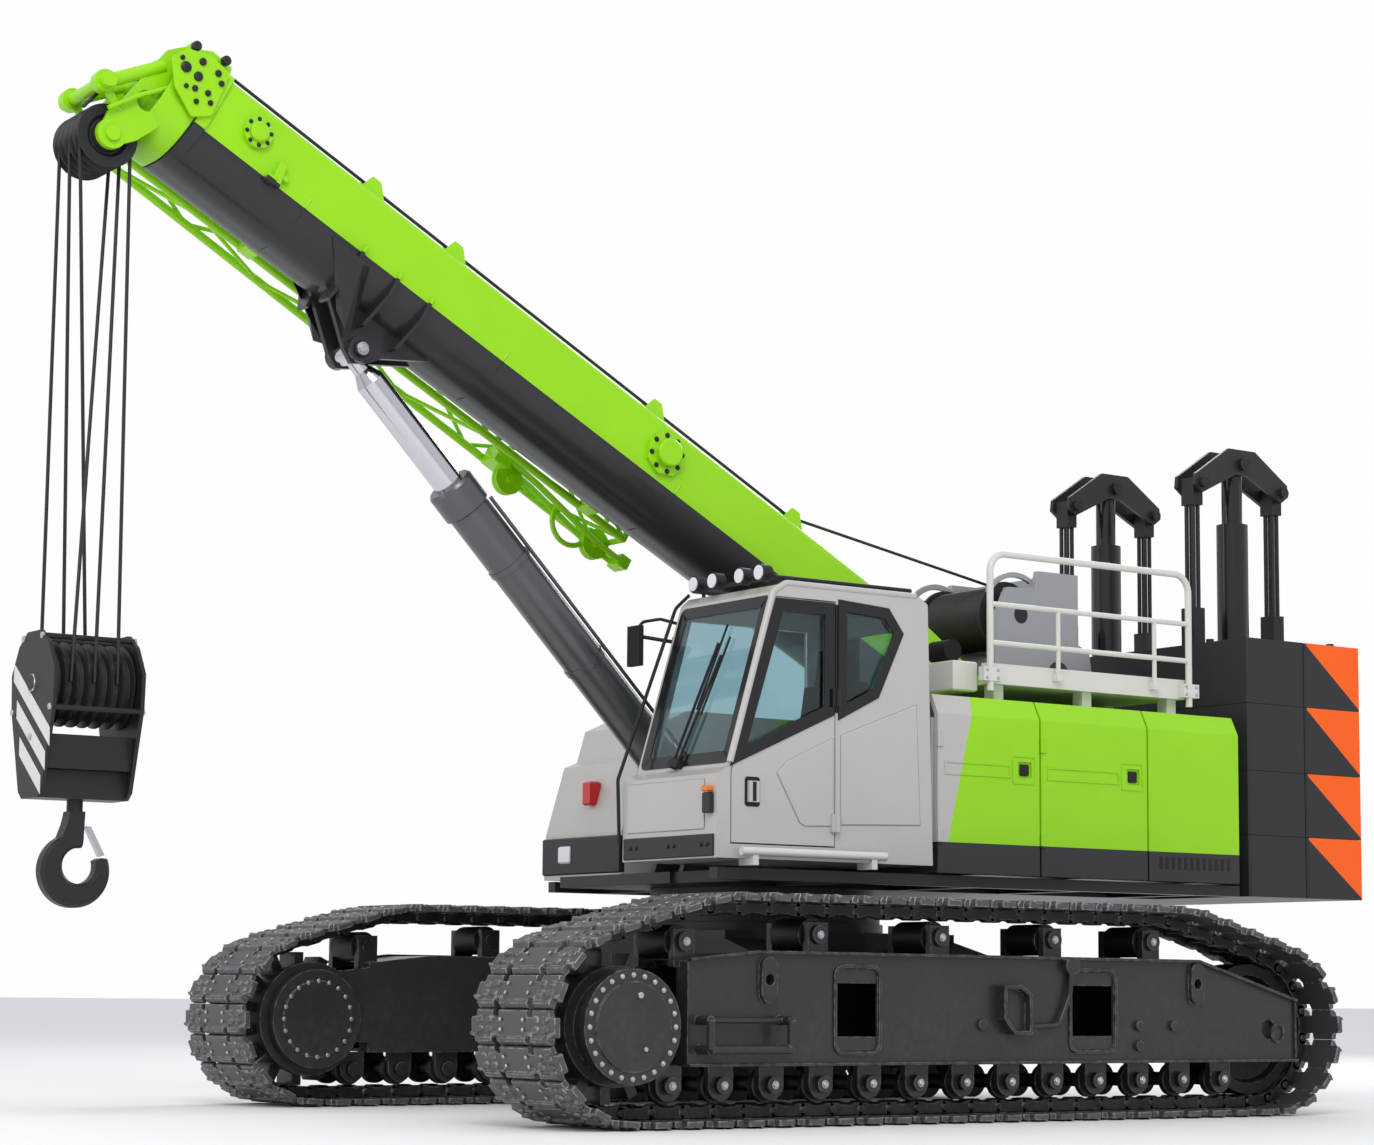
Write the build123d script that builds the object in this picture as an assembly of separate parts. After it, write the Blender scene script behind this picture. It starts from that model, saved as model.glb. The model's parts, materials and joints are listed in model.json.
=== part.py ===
from build123d import *
import math
import os

os.makedirs("parts", exist_ok=True)

# Telescopic-boom crawler crane, about 60 t class.
# Millimetres, +Z up, the machine looks along -Y and its own left side is +X.
# Everything is drawn about the slewing axis, then moved by ORIGIN_SHIFT so that
# the origin lies under the middle of the whole machine, on the ground.

# ---------------------------------------------------------------- driving sizes
ORIGIN_SHIFT = 484          # slewing axis lies this far behind the origin

# undercarriage
TRACK_CENTRE = 1800         # half the gauge
SHOE_WIDTH = 850
TRACK_HEIGHT = 1300
WHEEL_Y = 2450              # drive wheel and idler, in front of and behind the slewing axis
WHEEL_R = 555               # outside of the shoes where they go round the drive wheel
IDLER_R = 540
TOP_FRONT_Y = -1750         # where the top run starts to fall to the drive wheel
TOP_REAR_Y = 1620
TOP_BEND_R = 700
SHOES = 64
SHOE_GAP = 0.16             # share of a pitch that is open between two shoes
SHOE_GROOVE = 32
SHOE_PLATE = 52
CHAIN_DEPTH = 128           # from shoe face to the rail that the rollers run on
CHAIN_HALF = 150
FRAME_HALF = 280            # half the width of a track frame
SKIN = 20                   # plate of the welded boxes
COVER_R = 313

# slewing ring and deck
RING_R = 760
RING_LOW = 1180
DECK_LOW = 1400
DECK_TOP = 1470
SIDE = 1500                 # half the width of the upper machine
CHEEK_IN = 430
CHEEK_OUT = 495

# boom, in its own frame: x forward along the boom from its foot pin, z up
BOOM_ANGLE = 28.3
FOOT = (0, 1150, 2550)      # foot pin
BOOM_W, BOOM_UP, BOOM_DOWN = 660, 530, 60
BOOM_END = 6200
BOOM_WALL = 14
TOP_CORNER, BELLY_CORNER = 45, 290
FOOT_PIN_R = 70
ROD_PIN = (4675, -268)      # where the luffing rod is pinned, in the boom frame
HEAD_SHEAVE = (6620, -165)
HEAD_SHEAVES, HEAD_PITCH = 5, 70

# inner sections: name, width, up, down, tail, collar start, collar end
SECTIONS = [
    ("boom_section_2", 576, 486, 20, 500, 6290, 6335),
    ("boom_section_3", 494, 442, -18, 650, 6345, 6390),
    ("boom_section_4", 414, 400, -56, 800, 6400, 6445),
]

# luffing cylinder
CYLINDER_FOOT = (0, -335, 1720)
BARREL_R, BARREL_LEN = 135, 2930
ROD_R = 92
EYE_R, EYE_HALF = 70, 74
CYLINDER_PIN_R = 50
FIT = 0.05                  # running fit, on the radius

# hoisting gear
ROPE_R, FALL_GAP = 10.5, 4
SHEAVE_BORE = 45
HEAD_SHEAVE_R, HEAD_GROOVE_R = 185, 139
BLOCK_SHEAVE_R, BLOCK_GROOVE_R = 236, 202
BLOCK_Z = 2420              # sheave axis of the hook block
BLOCK_SHEAVES, BLOCK_PITCH = 7, 69
FALLS_X = (-140, 0, 140)    # rope falls on the head sheaves
WINCH = (0, 1805, 3290)
DRUM_R, DRUM_HALF, DRUM_FLANGE_R, DRUM_JOURNAL = 175, 300, 240, 60

# cab
CAB_IN, CAB_OUT = 520, 1500
CAB_WALL = 45
CAB_LOW, CAB_HIGH = 1520, 3160
DOOR_HINGE = (1522, -560)

# side houses, mirrored left and right
HOUSE_FRONT, HOUSE_REAR = 215, 2800
HOUSE_LOW, HOUSE_HIGH = 1480, 2580
CHAMFER_Z, CHAMFER_X = 2460, 1440
PANEL = 36

# counterweight
WEIGHT_FRONT, WEIGHT_SPLIT, WEIGHT_REAR = 2930, 3470, 4010
WEIGHT_LEVELS = (1400, 1810, 2240, 2690, 3130)
LIFT_X, LIFT_Y = 650, 3625
LIFT_PIN_Z, LIFT_END_DROP, LIFT_REACH = 4470, 165, 388
LIFT_PIN_R, HANGER_PIN_R = 30, 26


# ---------------------------------------------------------------- helpers
def block(x0, x1, y0, y1, z0, z1):
    """Box between two corners."""
    size = Box(x1 - x0, y1 - y0, z1 - z0)
    return Pos((x0 + x1) / 2, (y0 + y1) / 2, (z0 + z1) / 2) * size


def side_plate(points, x0, x1):
    """Outline given as (y, z), extruded across the machine from x0 to x1."""
    face = make_face(Plane.YZ * Polyline(*points, close=True))
    return Pos(x0, 0, 0) * extrude(face, amount=x1 - x0, dir=(1, 0, 0))


def cross_rod(radius, x0, x1, y, z):
    """Round bar along X."""
    bar = Cylinder(radius, x1 - x0, rotation=(0, 90, 0))
    return Pos((x0 + x1) / 2, y, z) * bar


def strut(a, b, radius):
    """Round bar between two points."""
    a, b = Vector(*a), Vector(*b)
    plane = Plane(origin=a, z_dir=(b - a).normalized())
    return extrude(plane * Circle(radius), amount=(b - a).length)


def turned(profile, x, y, z):
    """Wheel on an axle along X: profile is a list of (x, radius), x from its centre."""
    line = Plane.XZ * Polyline(*profile, close=True)
    wheel = revolve(make_face(line), Axis.X)
    return Pos(x, y, z) * wheel


def mirrored(shape):
    """The same piece on the other side of the machine."""
    return mirror(shape, about=Plane.YZ)


def joined(pieces):
    """Fuse a list of pieces into one."""
    whole = pieces[0]
    for piece in pieces[1:]:
        whole = whole + piece
    return whole


BOOM_FRAME = Pos(*FOOT) * Rot(0, 0, -90) * Rot(0, -BOOM_ANGLE, 0)


def on_boom(shape):
    """From the boom frame (x forward, y to the left, z up) to the machine."""
    return BOOM_FRAME * shape


def save(name, *solids):
    """Write one node, moved to the common origin."""
    shape = solids[0] if len(solids) == 1 else Compound(children=list(solids))
    export_step(Pos(0, ORIGIN_SHIFT, 0) * shape, f"parts/{name}.step")


# ---------------------------------------------------------------- track loop
# A belt round four circles, walked with the ground run first.
BELT = [
    (-WHEEL_Y, WHEEL_R, WHEEL_R),
    (WHEEL_Y, IDLER_R, IDLER_R),
    (TOP_REAR_Y, TRACK_HEIGHT - TOP_BEND_R, TOP_BEND_R),
    (TOP_FRONT_Y, TRACK_HEIGHT - TOP_BEND_R, TOP_BEND_R),
]


def belt_spans():
    """Straight spans of the belt: (start, end, outward normal) for each pair of circles."""
    spans = []
    for (y0, z0, r0), (y1, z1, r1) in zip(BELT, BELT[1:] + BELT[:1]):
        dy, dz = y1 - y0, z1 - z0
        length = math.hypot(dy, dz)
        dy, dz = dy / length, dz / length
        lean = (r0 - r1) / length
        square = math.sqrt(1 - lean * lean)
        ny, nz = dz * square + dy * lean, -dy * square + dz * lean
        spans.append(((y0 + ny * r0, z0 + nz * r0), (y1 + ny * r1, z1 + nz * r1), (ny, nz)))
    return spans


def belt_face(inset):
    """Face inside the belt, its outline drawn in by inset: lines and tangent arcs."""
    spans = belt_spans()
    edges = []
    for i, (a, b, (ny, nz)) in enumerate(spans):
        start = (a[0] - ny * inset, a[1] - nz * inset)
        end = (b[0] - ny * inset, b[1] - nz * inset)
        edges.append(Line(start, end))
        cy, cz, radius = BELT[(i + 1) % len(BELT)]
        my, mz = spans[(i + 1) % len(spans)][2]
        middle_y, middle_z = ny + my, nz + mz
        reach = (radius - inset) / math.hypot(middle_y, middle_z)
        through = (cy + middle_y * reach, cz + middle_z * reach)
        after = (cy + my * (radius - inset), cz + mz * (radius - inset))
        edges.append(ThreePointArc(end, through, after))
    return make_face(Plane.YZ * Wire(edges))


def belt_walk(distance):
    """Point and outward normal at a distance along the belt's outside."""
    spans = belt_spans()
    while True:
        for i, (a, b, n) in enumerate(spans):
            length = math.dist(a, b)
            if distance <= length:
                share = distance / length
                return (a[0] + (b[0] - a[0]) * share, a[1] + (b[1] - a[1]) * share), n
            distance -= length
            cy, cz, radius = BELT[(i + 1) % len(BELT)]
            m = spans[(i + 1) % len(spans)][2]
            turn = math.acos(max(-1, min(1, n[0] * m[0] + n[1] * m[1])))
            if distance <= radius * turn:
                angle = math.atan2(n[1], n[0]) + distance / radius
                normal = (math.cos(angle), math.sin(angle))
                return (cy + radius * normal[0], cz + radius * normal[1]), normal
            distance -= radius * turn


def belt_length():
    """Length of the belt round the four circles of the loop: its straight spans and its arcs."""
    spans = belt_spans()
    total = sum(math.dist(a, b) for a, b, n in spans)
    for i, (a, b, n) in enumerate(spans):
        m = spans[(i + 1) % len(spans)][2]
        total += BELT[(i + 1) % len(BELT)][2] * math.acos(max(-1, min(1, n[0] * m[0] + n[1] * m[1])))
    return total


def shoe_outline():
    """Outside of the loop: each shoe stands proud of the grooves on either side."""
    pitch = belt_length() / SHOES
    half = (1 - SHOE_GAP) / 2
    points = []
    for i in range(SHOES):
        for share, inset in ((-half, SHOE_GROOVE), (-half, 0), (half, 0), (half, SHOE_GROOVE)):
            (y, z), (ny, nz) = belt_walk(((i + 0.5 + share) * pitch) % belt_length())
            points.append((y - ny * inset, z - nz * inset))
    return points


def track(side):
    """Closed belt as one solid: shoes outside, a chain band inside, hollow within."""
    shoes = side_plate(shoe_outline(), -SHOE_WIDTH / 2, SHOE_WIDTH / 2)
    hollow = extrude(belt_face(SHOE_PLATE), amount=SHOE_WIDTH + 2, dir=(1, 0, 0))
    shoes -= Pos(-SHOE_WIDTH / 2 - 1, 0, 0) * hollow
    chain = Pos(-CHAIN_HALF, 0, 0) * extrude(
        belt_face(SHOE_GROOVE + 5) - belt_face(CHAIN_DEPTH), amount=2 * CHAIN_HALF, dir=(1, 0, 0)
    )
    return Pos(side * TRACK_CENTRE, 0, 0) * (shoes + chain)


# ---------------------------------------------------------------- track frame, wheels and rollers
FRAME_OUTLINE = [(-2030, 340), (2690, 340), (2690, 715), (1830, 955), (-1580, 965), (-2030, 915)]
FRAME_HOLLOW = [(-1990, 360), (2000, 360), (2000, 880), (1830, 927), (-1580, 937), (-1990, 890)]
FRAME_WINDOWS = [(-1000, -700), (785, 1130)]       # y from, y to
WINDOW_Z = (415, 885)
BOTTOM_ROLLERS = [-2100 + 350 * i for i in range(13)]
TOP_ROLLERS = [(-2000, 1022), (-1070, 1075), (-170, 1075), (710, 1075), (1520, 1075)]     # y, z
ROLLER_Z, ROLLER_R = 231, 101
TOP_ROLLER_R = 95
STUB_R, STUB_BORE = 45, 46
BRACKET_R = 85              # round foot of the plates that hold a bottom roller
DRIVE_HUB_R = 270
IDLER_AXLE_R = 60
YOKE_HALF = 170


def track_frame():
    """Welded box with two inspection windows in each side and a fork at either end for the wheels."""
    beam = side_plate(FRAME_OUTLINE, -FRAME_HALF, FRAME_HALF)
    beam -= side_plate(FRAME_HOLLOW, -FRAME_HALF + SKIN, FRAME_HALF - SKIN)
    for y0, y1 in FRAME_WINDOWS:
        hole = block(-FRAME_HALF - 1, FRAME_HALF + 1, y0, y1, *WINDOW_Z)
        beam -= fillet(hole.edges().filter_by(Axis.X), 45)
    beam -= block(-YOKE_HALF, YOKE_HALF, 2015, 2700, 330, 1000)
    beam -= block(-YOKE_HALF, YOKE_HALF, -2040, -1960, 330, 1000)
    return beam - cross_rod(IDLER_AXLE_R, -FRAME_HALF - 1, FRAME_HALF + 1, WHEEL_Y, IDLER_R)


LASHING_EYES = [(-1490, 815), (1816, 819)]         # y, z on the outer side
EYE_BORE = 32
DOUBLER = 30


def lashing_eye(y, z):
    """Upright oval doubler on the outer side, drilled through into the hollow frame for a chain hook."""
    oval = Pos(y, z) * SlotOverall(256, 110, rotation=90)
    return Pos(FRAME_HALF - 1, 0, 0) * extrude(Plane.YZ * oval, amount=DOUBLER + 1, dir=(1, 0, 0))


STEP_Y, STEP_Z, STEP_OUT = (-1955, -1405), (590, 430), 400


def frame_step():
    """Boarding step: an upright tube at each end of two bars, held off the outer side by short stays."""
    middle, out = FRAME_HALF + 50, STEP_OUT
    pieces = [strut((out, STEP_Y[0], STEP_Z[1]), (out, STEP_Y[1], STEP_Z[1]), 24),
              strut((middle, STEP_Y[0], STEP_Z[0]), (middle, STEP_Y[1], STEP_Z[0]), 16)]
    for y in STEP_Y:
        pieces.append(strut((out, y, STEP_Z[1]), (out, y, STEP_Z[0]), 24))
        for z in STEP_Z:
            pieces.append(strut((FRAME_HALF - SKIN / 2, y, z), (out, y, z), 26))
    return joined(pieces)


def drive_arm():
    """Inner side plate that carries the drive gearbox in front of the frame."""
    outline = [(-1900, 400), (-1900, 900), (-2310, 855), (-2400, 790), (-2400, 420)]
    plate = side_plate(outline, -FRAME_HALF, -FRAME_HALF + 45)
    plate += cross_rod(360, -FRAME_HALF, -FRAME_HALF + 45, -WHEEL_Y, WHEEL_R)
    return plate - cross_rod(DRIVE_HUB_R, -FRAME_HALF - 1, -FRAME_HALF + 60, -WHEEL_Y, WHEEL_R)


def drive_wheel():
    """Tumbler with drive lugs between two bolted gearbox covers."""
    body = turned(
        [(-385, 0), (-385, 243), (-373, 243), (-373, COVER_R), (-325, COVER_R), (-310, DRIVE_HUB_R),
         (-200, DRIVE_HUB_R), (-200, 330), (200, 330), (200, DRIVE_HUB_R), (310, DRIVE_HUB_R), (325, COVER_R),
         (373, COVER_R), (373, 243), (385, 243), (385, 0)],
        0, -WHEEL_Y, WHEEL_R)
    lugs = 14
    for i in range(lugs):
        lug = block(-105, 105, -32, 32, 320, WHEEL_R - CHAIN_DEPTH - 2)
        body += Pos(0, -WHEEL_Y, WHEEL_R) * Rot(360 / lugs * i, 0, 0) * lug
    return body


def idler():
    """Spoked wheel on an axle that runs out into the fork of the frame."""
    rim = IDLER_R - CHAIN_DEPTH - 2
    return turned(
        [(-255, 0), (-255, IDLER_AXLE_R), (-130, IDLER_AXLE_R), (-130, 110), (-60, 120), (-60, rim - 90),
         (-105, rim - 70), (-105, rim), (105, rim), (105, rim - 70), (60, rim - 90), (60, 120), (130, 110),
         (130, IDLER_AXLE_R), (255, IDLER_AXLE_R), (255, 0)],
        0, WHEEL_Y, IDLER_R)


def rollers():
    """Bottom rollers under the frame and carrier rollers over it, each on its own stub axle."""
    found = []
    for y in BOTTOM_ROLLERS:
        found.append(turned(
            [(-235, 0), (-235, STUB_R), (-160, STUB_R), (-160, ROLLER_R), (-118, ROLLER_R), (-118, 42),
             (118, 42), (118, ROLLER_R), (160, ROLLER_R), (160, STUB_R), (235, STUB_R), (235, 0)],
            0, y, ROLLER_Z))
    for y, z in TOP_ROLLERS:
        found.append(turned(
            [(-215, 0), (-215, STUB_R), (-140, STUB_R), (-140, TOP_ROLLER_R), (140, TOP_ROLLER_R), (140, STUB_R),
             (215, STUB_R), (215, 0)],
            0, y, z))
    return found


def roller_brackets():
    """Axle plates that hang the bottom rollers from the frame and carry the top rollers."""
    found = []
    for y in BOTTOM_ROLLERS:
        for x0, x1 in ((165, 205), (-205, -165)):
            found.append(block(x0, x1, y - BRACKET_R, y + BRACKET_R, ROLLER_Z, 342))
            found.append(cross_rod(BRACKET_R, x0, x1, y, ROLLER_Z))
    for y, z in TOP_ROLLERS:
        for x0, x1 in ((150, 200), (-200, -150)):
            found.append(block(x0, x1, y - 70, y + 70, 880, z + 70))
    return found


def frame_with_brackets():
    """Track frame with its drive arm, step, roller brackets and lashing eyes, all welded in one."""
    eyes = [lashing_eye(y, z) for y, z in LASHING_EYES]
    beam = joined([track_frame(), drive_arm(), frame_step()] + roller_brackets() + eyes)
    for y, z in LASHING_EYES:
        beam -= cross_rod(EYE_BORE, FRAME_HALF - SKIN - 5, FRAME_HALF + DOUBLER + 1, y, z)
    for y, z in [(y, ROLLER_Z) for y in BOTTOM_ROLLERS] + TOP_ROLLERS:
        beam -= cross_rod(STUB_BORE, -FRAME_HALF, FRAME_HALF, y, z)
    return beam


def carbody():
    """Turret box with two cross beams that run into the track frames, and a round seat for the ring."""
    low, high = 520, 1120
    reach = TRACK_CENTRE - FRAME_HALF
    middle = block(-850, 850, -900, 900, low, high)
    beams = []
    for y in (-700, 700):
        outer = Plane(origin=(reach, y, 680), x_dir=(0, 1, 0), z_dir=(1, 0, 0)) * Rectangle(520, 420)
        root = Plane(origin=(700, y, 810), x_dir=(0, 1, 0), z_dir=(1, 0, 0)) * Rectangle(380, 600)
        beam = loft([root, outer])
        beams += [beam, mirrored(beam)]
    seat = Pos(0, 0, (high + RING_LOW) / 2) * Cylinder(RING_R + 20, RING_LOW - high)
    return joined([middle] + beams + [seat])


# ---------------------------------------------------------------- slewing ring and deck
def lower_ring():
    """Ring bolted on the carbody, which the upper machine turns on."""
    ring = Pos(0, 0, RING_LOW + 55) * (Cylinder(RING_R, 110) - Cylinder(RING_R - 190, 120))
    return ring


def upper_ring():
    """Ring under the deck that turns with the upper machine."""
    low = RING_LOW + 115
    ring = Cylinder(RING_R - 40, DECK_LOW - low) - Cylinder(RING_R - 190, 300)
    return Pos(0, 0, (low + DECK_LOW) / 2) * ring


CHEEK_OUTLINE = [
    (-330, DECK_TOP), (180, 1980), (830, 2720), (1000, 2860), (1300, 2860), (1520, 2700), (2300, 2700),
    (2520, 2500), (2840, 2420), (2840, DECK_TOP),
]


def cheek():
    """Upright plate beside the boom's foot, with a boss for the foot pin and three lightening holes."""
    plate = side_plate(CHEEK_OUTLINE, CHEEK_IN, CHEEK_OUT)
    plate += cross_rod(190, CHEEK_IN - 25, CHEEK_OUT + 30, FOOT[1], FOOT[2])
    for y, z, r in ((650, 2020, 130), (1900, 2050, 190), (2450, 1980, 150)):
        plate -= cross_rod(r, CHEEK_IN - 1, CHEEK_OUT + 1, y, z)
    return plate - cross_rod(FOOT_PIN_R, CHEEK_IN - 50, CHEEK_OUT + 50, FOOT[1], FOOT[2])


def deck_frame():
    """Bottom plate with outriggers under the cab and houses, then the plates welded on it, each a solid of its own:
    cheeks for the boom's foot, lugs for the luffing cylinder, and cross plates between the cheeks."""
    plate = block(-620, 620, -1150, 2900, DECK_LOW, DECK_TOP)
    hole = Pos(0, 0, DECK_LOW) * Cylinder(300, 400)
    skirts = []
    for y, right in ((-1080, -620), (-300, -1440), (620, -1440), (1500, -1440), (2500, -1440)):
        skirts.append(block(right, 1440, y - 45, y + 45, DECK_LOW, DECK_TOP))
    rails = [block(1360, 1440, -1380, 2860, DECK_LOW, DECK_TOP),
             block(-1440, -1360, -720, 2860, DECK_LOW, DECK_TOP)]
    lugs = []
    for x in (135, -180):
        lug = side_plate([(-760, DECK_TOP), (-120, DECK_TOP), (-300, 1900), (-600, 1900)], x, x + 45)
        lugs.append(lug - cross_rod(CYLINDER_PIN_R, x - 5, x + 50, CYLINDER_FOOT[1], CYLINDER_FOOT[2]))
    tail = block(-CHEEK_IN, CHEEK_IN, 2760, 2840, DECK_TOP, 2380)
    winch_floor = block(-CHEEK_IN, CHEEK_IN, 2080, 2300, 2640, 2700)
    cross = block(-CHEEK_IN, CHEEK_IN, 520, 600, DECK_TOP, 1800)
    deck = joined([plate - hole] + skirts + rails)
    return (deck, cheek(), mirrored(cheek()), *lugs, tail, winch_floor, cross)


def pins():
    """Boom foot pin and the pin under the luffing cylinder."""
    return (cross_rod(FOOT_PIN_R - FIT, -CHEEK_OUT - 45, CHEEK_OUT + 45, FOOT[1], FOOT[2]),
            cross_rod(CYLINDER_PIN_R - FIT, -200, 200, CYLINDER_FOOT[1], CYLINDER_FOOT[2]))


# ---------------------------------------------------------------- boom
def section_face(width, up, down, x):
    """U-shaped boom profile across the boom at x: small top corners, wide belly corners."""
    plane = Plane(origin=(x, 0, (up - down) / 2), x_dir=(0, 1, 0), z_dir=(1, 0, 0))
    face = Rectangle(width, up + down)
    face = fillet(face.vertices().group_by(Axis.Y)[-1], TOP_CORNER)
    belly = face.vertices().group_by(Axis.Y)[0]
    return plane * fillet(belly, BELLY_CORNER * width / BOOM_W)


def tube(width, up, down, start, end, wall):
    """Hollow length of a boom section."""
    outside = extrude(section_face(width, up, down, start), amount=end - start)
    inside = extrude(section_face(width - 2 * wall, up - wall, down - wall, start - 1), amount=end - start + 2)
    return outside - inside


def collar(width, up, down, start, end, grow):
    """Stiffening ring round the mouth of a section, flush with the belly."""
    outside = extrude(section_face(width + 2 * grow, up + grow, down, start), amount=end - start)
    hole = section_face(width - 2 * BOOM_WALL, up - BOOM_WALL, down - BOOM_WALL, start - 1)
    inside = extrude(hole, amount=end - start + 2)
    return outside - inside


def boom_plate(points, y0, y1):
    """Outline given as (x, z) in the boom frame, extruded across the boom."""
    face = make_face(Plane.XZ * Polyline(*points, close=True))
    return Pos(0, y1, 0) * extrude(face, amount=y1 - y0, dir=(0, -1, 0))


def boom_bar(radius, y0, y1, x, z):
    """Round bar across the boom, in the boom frame."""
    return Pos(x, (y0 + y1) / 2, z) * Cylinder(radius, y1 - y0, rotation=(90, 0, 0))


ROPE_GUIDES = (1560, 2800, 4470, 5120)
SIDE_CAPS = ((2645, 335, 135, 90, 8), (5925, 350, 92, 60, 36))     # x, z, radius, height, sides
EAR_IN, EAR_OUT = 78, 116                   # the two ears that hold the luffing rod


def belly_rib(x0, x1):
    """Rib round the belly, from beside the rod's ears up to the middle of either side."""
    half = BOOM_W / 2
    outline = [(-half - 16, 200), (-half - 16, 40), (-190, -150), (190, -150), (half + 16, 40), (half + 16, 200)]
    face = make_face(Plane.YZ * Polyline(*outline, close=True))
    rib = Pos(x0, 0, 0) * extrude(face, amount=x1 - x0, dir=(1, 0, 0))
    rib -= extrude(section_face(BOOM_W - 4, BOOM_UP - 2, BOOM_DOWN - 2, x0 - 1), amount=x1 - x0 + 2)
    return rib - block(x0 - 1, x1 + 1, -EAR_IN, EAR_IN, -200, -BOOM_DOWN + 5)


def rod_ears():
    """Two tapered ears under the belly with a pin boss on each, and a heel plate between their rear ends."""
    x, z = ROD_PIN
    pieces = []
    for side in (-1, 1):
        low, high = sorted((side * EAR_IN, side * EAR_OUT))
        outline = [(x - 430, -45), (x - 160, z + 50), (x - 88, z - 35), (x, z - 95), (x + 80, z - 50), (x + 380, -45)]
        pieces.append(boom_plate(outline, low, high))
        boss_low, boss_high = sorted((side * (EAR_OUT - 2), side * (EAR_OUT + 42)))
        pieces.append(boom_bar(78, boss_low, boss_high, x, z))
    return pieces


def rope_guide(x):
    """Two upright horns with a roller between them, which keeps the hoist rope on the boom's back."""
    base, top = BOOM_UP - 10, BOOM_UP + 110
    pieces = []
    for y in (120, 240):
        pieces.append(boom_plate([(x - 120, base), (x - 20, top), (x + 40, top), (x + 90, base)], y, y + 18))
    pieces.append(boom_bar(30, 125, 250, x + 8, top - 36))
    return pieces


def side_cap(x, z, radius, height, sides):
    """Bolted cover over the telescope's pin bore on both sides of the boom."""
    caps = []
    for side in (-1, 1):
        start = side * (BOOM_W / 2 - 4)
        plane = Plane(origin=(x, start, z), x_dir=(1, 0, 0), z_dir=(0, side, 0))
        flange = extrude(plane * RegularPolygon(radius, sides, major_radius=False), amount=34)
        lid = extrude(plane * Circle(radius * 0.66), amount=height)
        outer_rim = lid.edges().filter_by(GeomType.CIRCLE).sort_by(Axis.Y)[-1 if side > 0 else 0]
        caps.append(flange + chamfer(outer_rim, 10))
    return caps


def boom_tail():
    """Foot end: two side plates with a waisted outline round the foot pin, a top plate and a back wall."""
    half = BOOM_W / 2
    outline = [(360, BOOM_UP), (-230, BOOM_UP - 60), (-290, 200), (-200, -120), (-60, -190), (120, -190),
               (360, 60 - BOOM_DOWN)]
    pieces = [boom_plate(outline, y, y + 70) for y in (-half, half - 70)]
    pieces.append(boom_plate([(362, BOOM_UP), (-230, BOOM_UP - 60), (-230, BOOM_UP - 90), (362, BOOM_UP - 30)],
                             -half + 60, half - 60))
    pieces.append(block(330, 360, -half + 10, half - 10, 60 - BOOM_DOWN, BOOM_UP - 5))
    pieces.append(boom_bar(150, -395, 395, 0, 0))
    return pieces


def boom_base(jib):
    """Base section: U-shaped tube, mouth collar, foot, rod ears and the ribs that spread their load."""
    body = tube(BOOM_W, BOOM_UP, BOOM_DOWN, 350, BOOM_END, BOOM_WALL)
    body += collar(BOOM_W, BOOM_UP, BOOM_DOWN, BOOM_END, BOOM_END + 75, 20)
    body = joined([body] + boom_tail() + rod_ears())
    for rib_x in (ROD_PIN[0] - 190, ROD_PIN[0] + 60, ROD_PIN[0] + 330):
        body += belly_rib(rib_x, rib_x + 22)
    for guide in ROPE_GUIDES:
        body = joined([body] + rope_guide(guide))
    for cap in SIDE_CAPS:
        body = joined([body] + side_cap(*cap))
    body = joined([body] + jib_brackets(jib)) - boom_bar(FOOT_PIN_R, -400, 400, 0, 0)
    return on_boom(body - boom_bar(CYLINDER_PIN_R, -EAR_OUT - 50, EAR_OUT + 50, *ROD_PIN))


def inner_section(width, up, down, tail, start, end):
    """A plain tube whose collar closes the mouth of the next section out."""
    body = tube(width, up, down, tail, end, BOOM_WALL)
    body += collar(width, up, down, start, end, 22)
    return body


HEAD_IN, HEAD_OUT = 195, 235                # faces of the head's cheek plates
EAR_PIN = (6807, 63)                        # cross axle in the front ears, where a fly jib is pinned
JIB_PIN_R, JIB_PIN_LEN = 45, 50
EAR_BOSS_R, EAR_BOSS_OUT = 66, 262


def head_cheek(low, high):
    """Cheek: a lobe round the sheave axle, a concave front edge and a bolted top plate over the collars."""
    x, z = HEAD_SHEAVE
    plate = boom_plate([(6402, 60), (6480, -110), (x - 70, z - 30), (x + 70, z - 30), (6700, -60), (6660, 60),
                        (6640, 220), (6605, 396), (6402, 400)], low, high)
    plate += boom_bar(88, low, high, x, z)
    plate += boom_plate([(6450, 390), (6603, 390), (6590, 470), (6528, 542), (6363, 643), (6221, 637), (6205, 585),
                         (6290, 562), (6345, 520), (6400, 478), (6450, 425)], low, high)
    return plate - boom_bar(62, low - 1, high + 1, 6545, 130)


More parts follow.
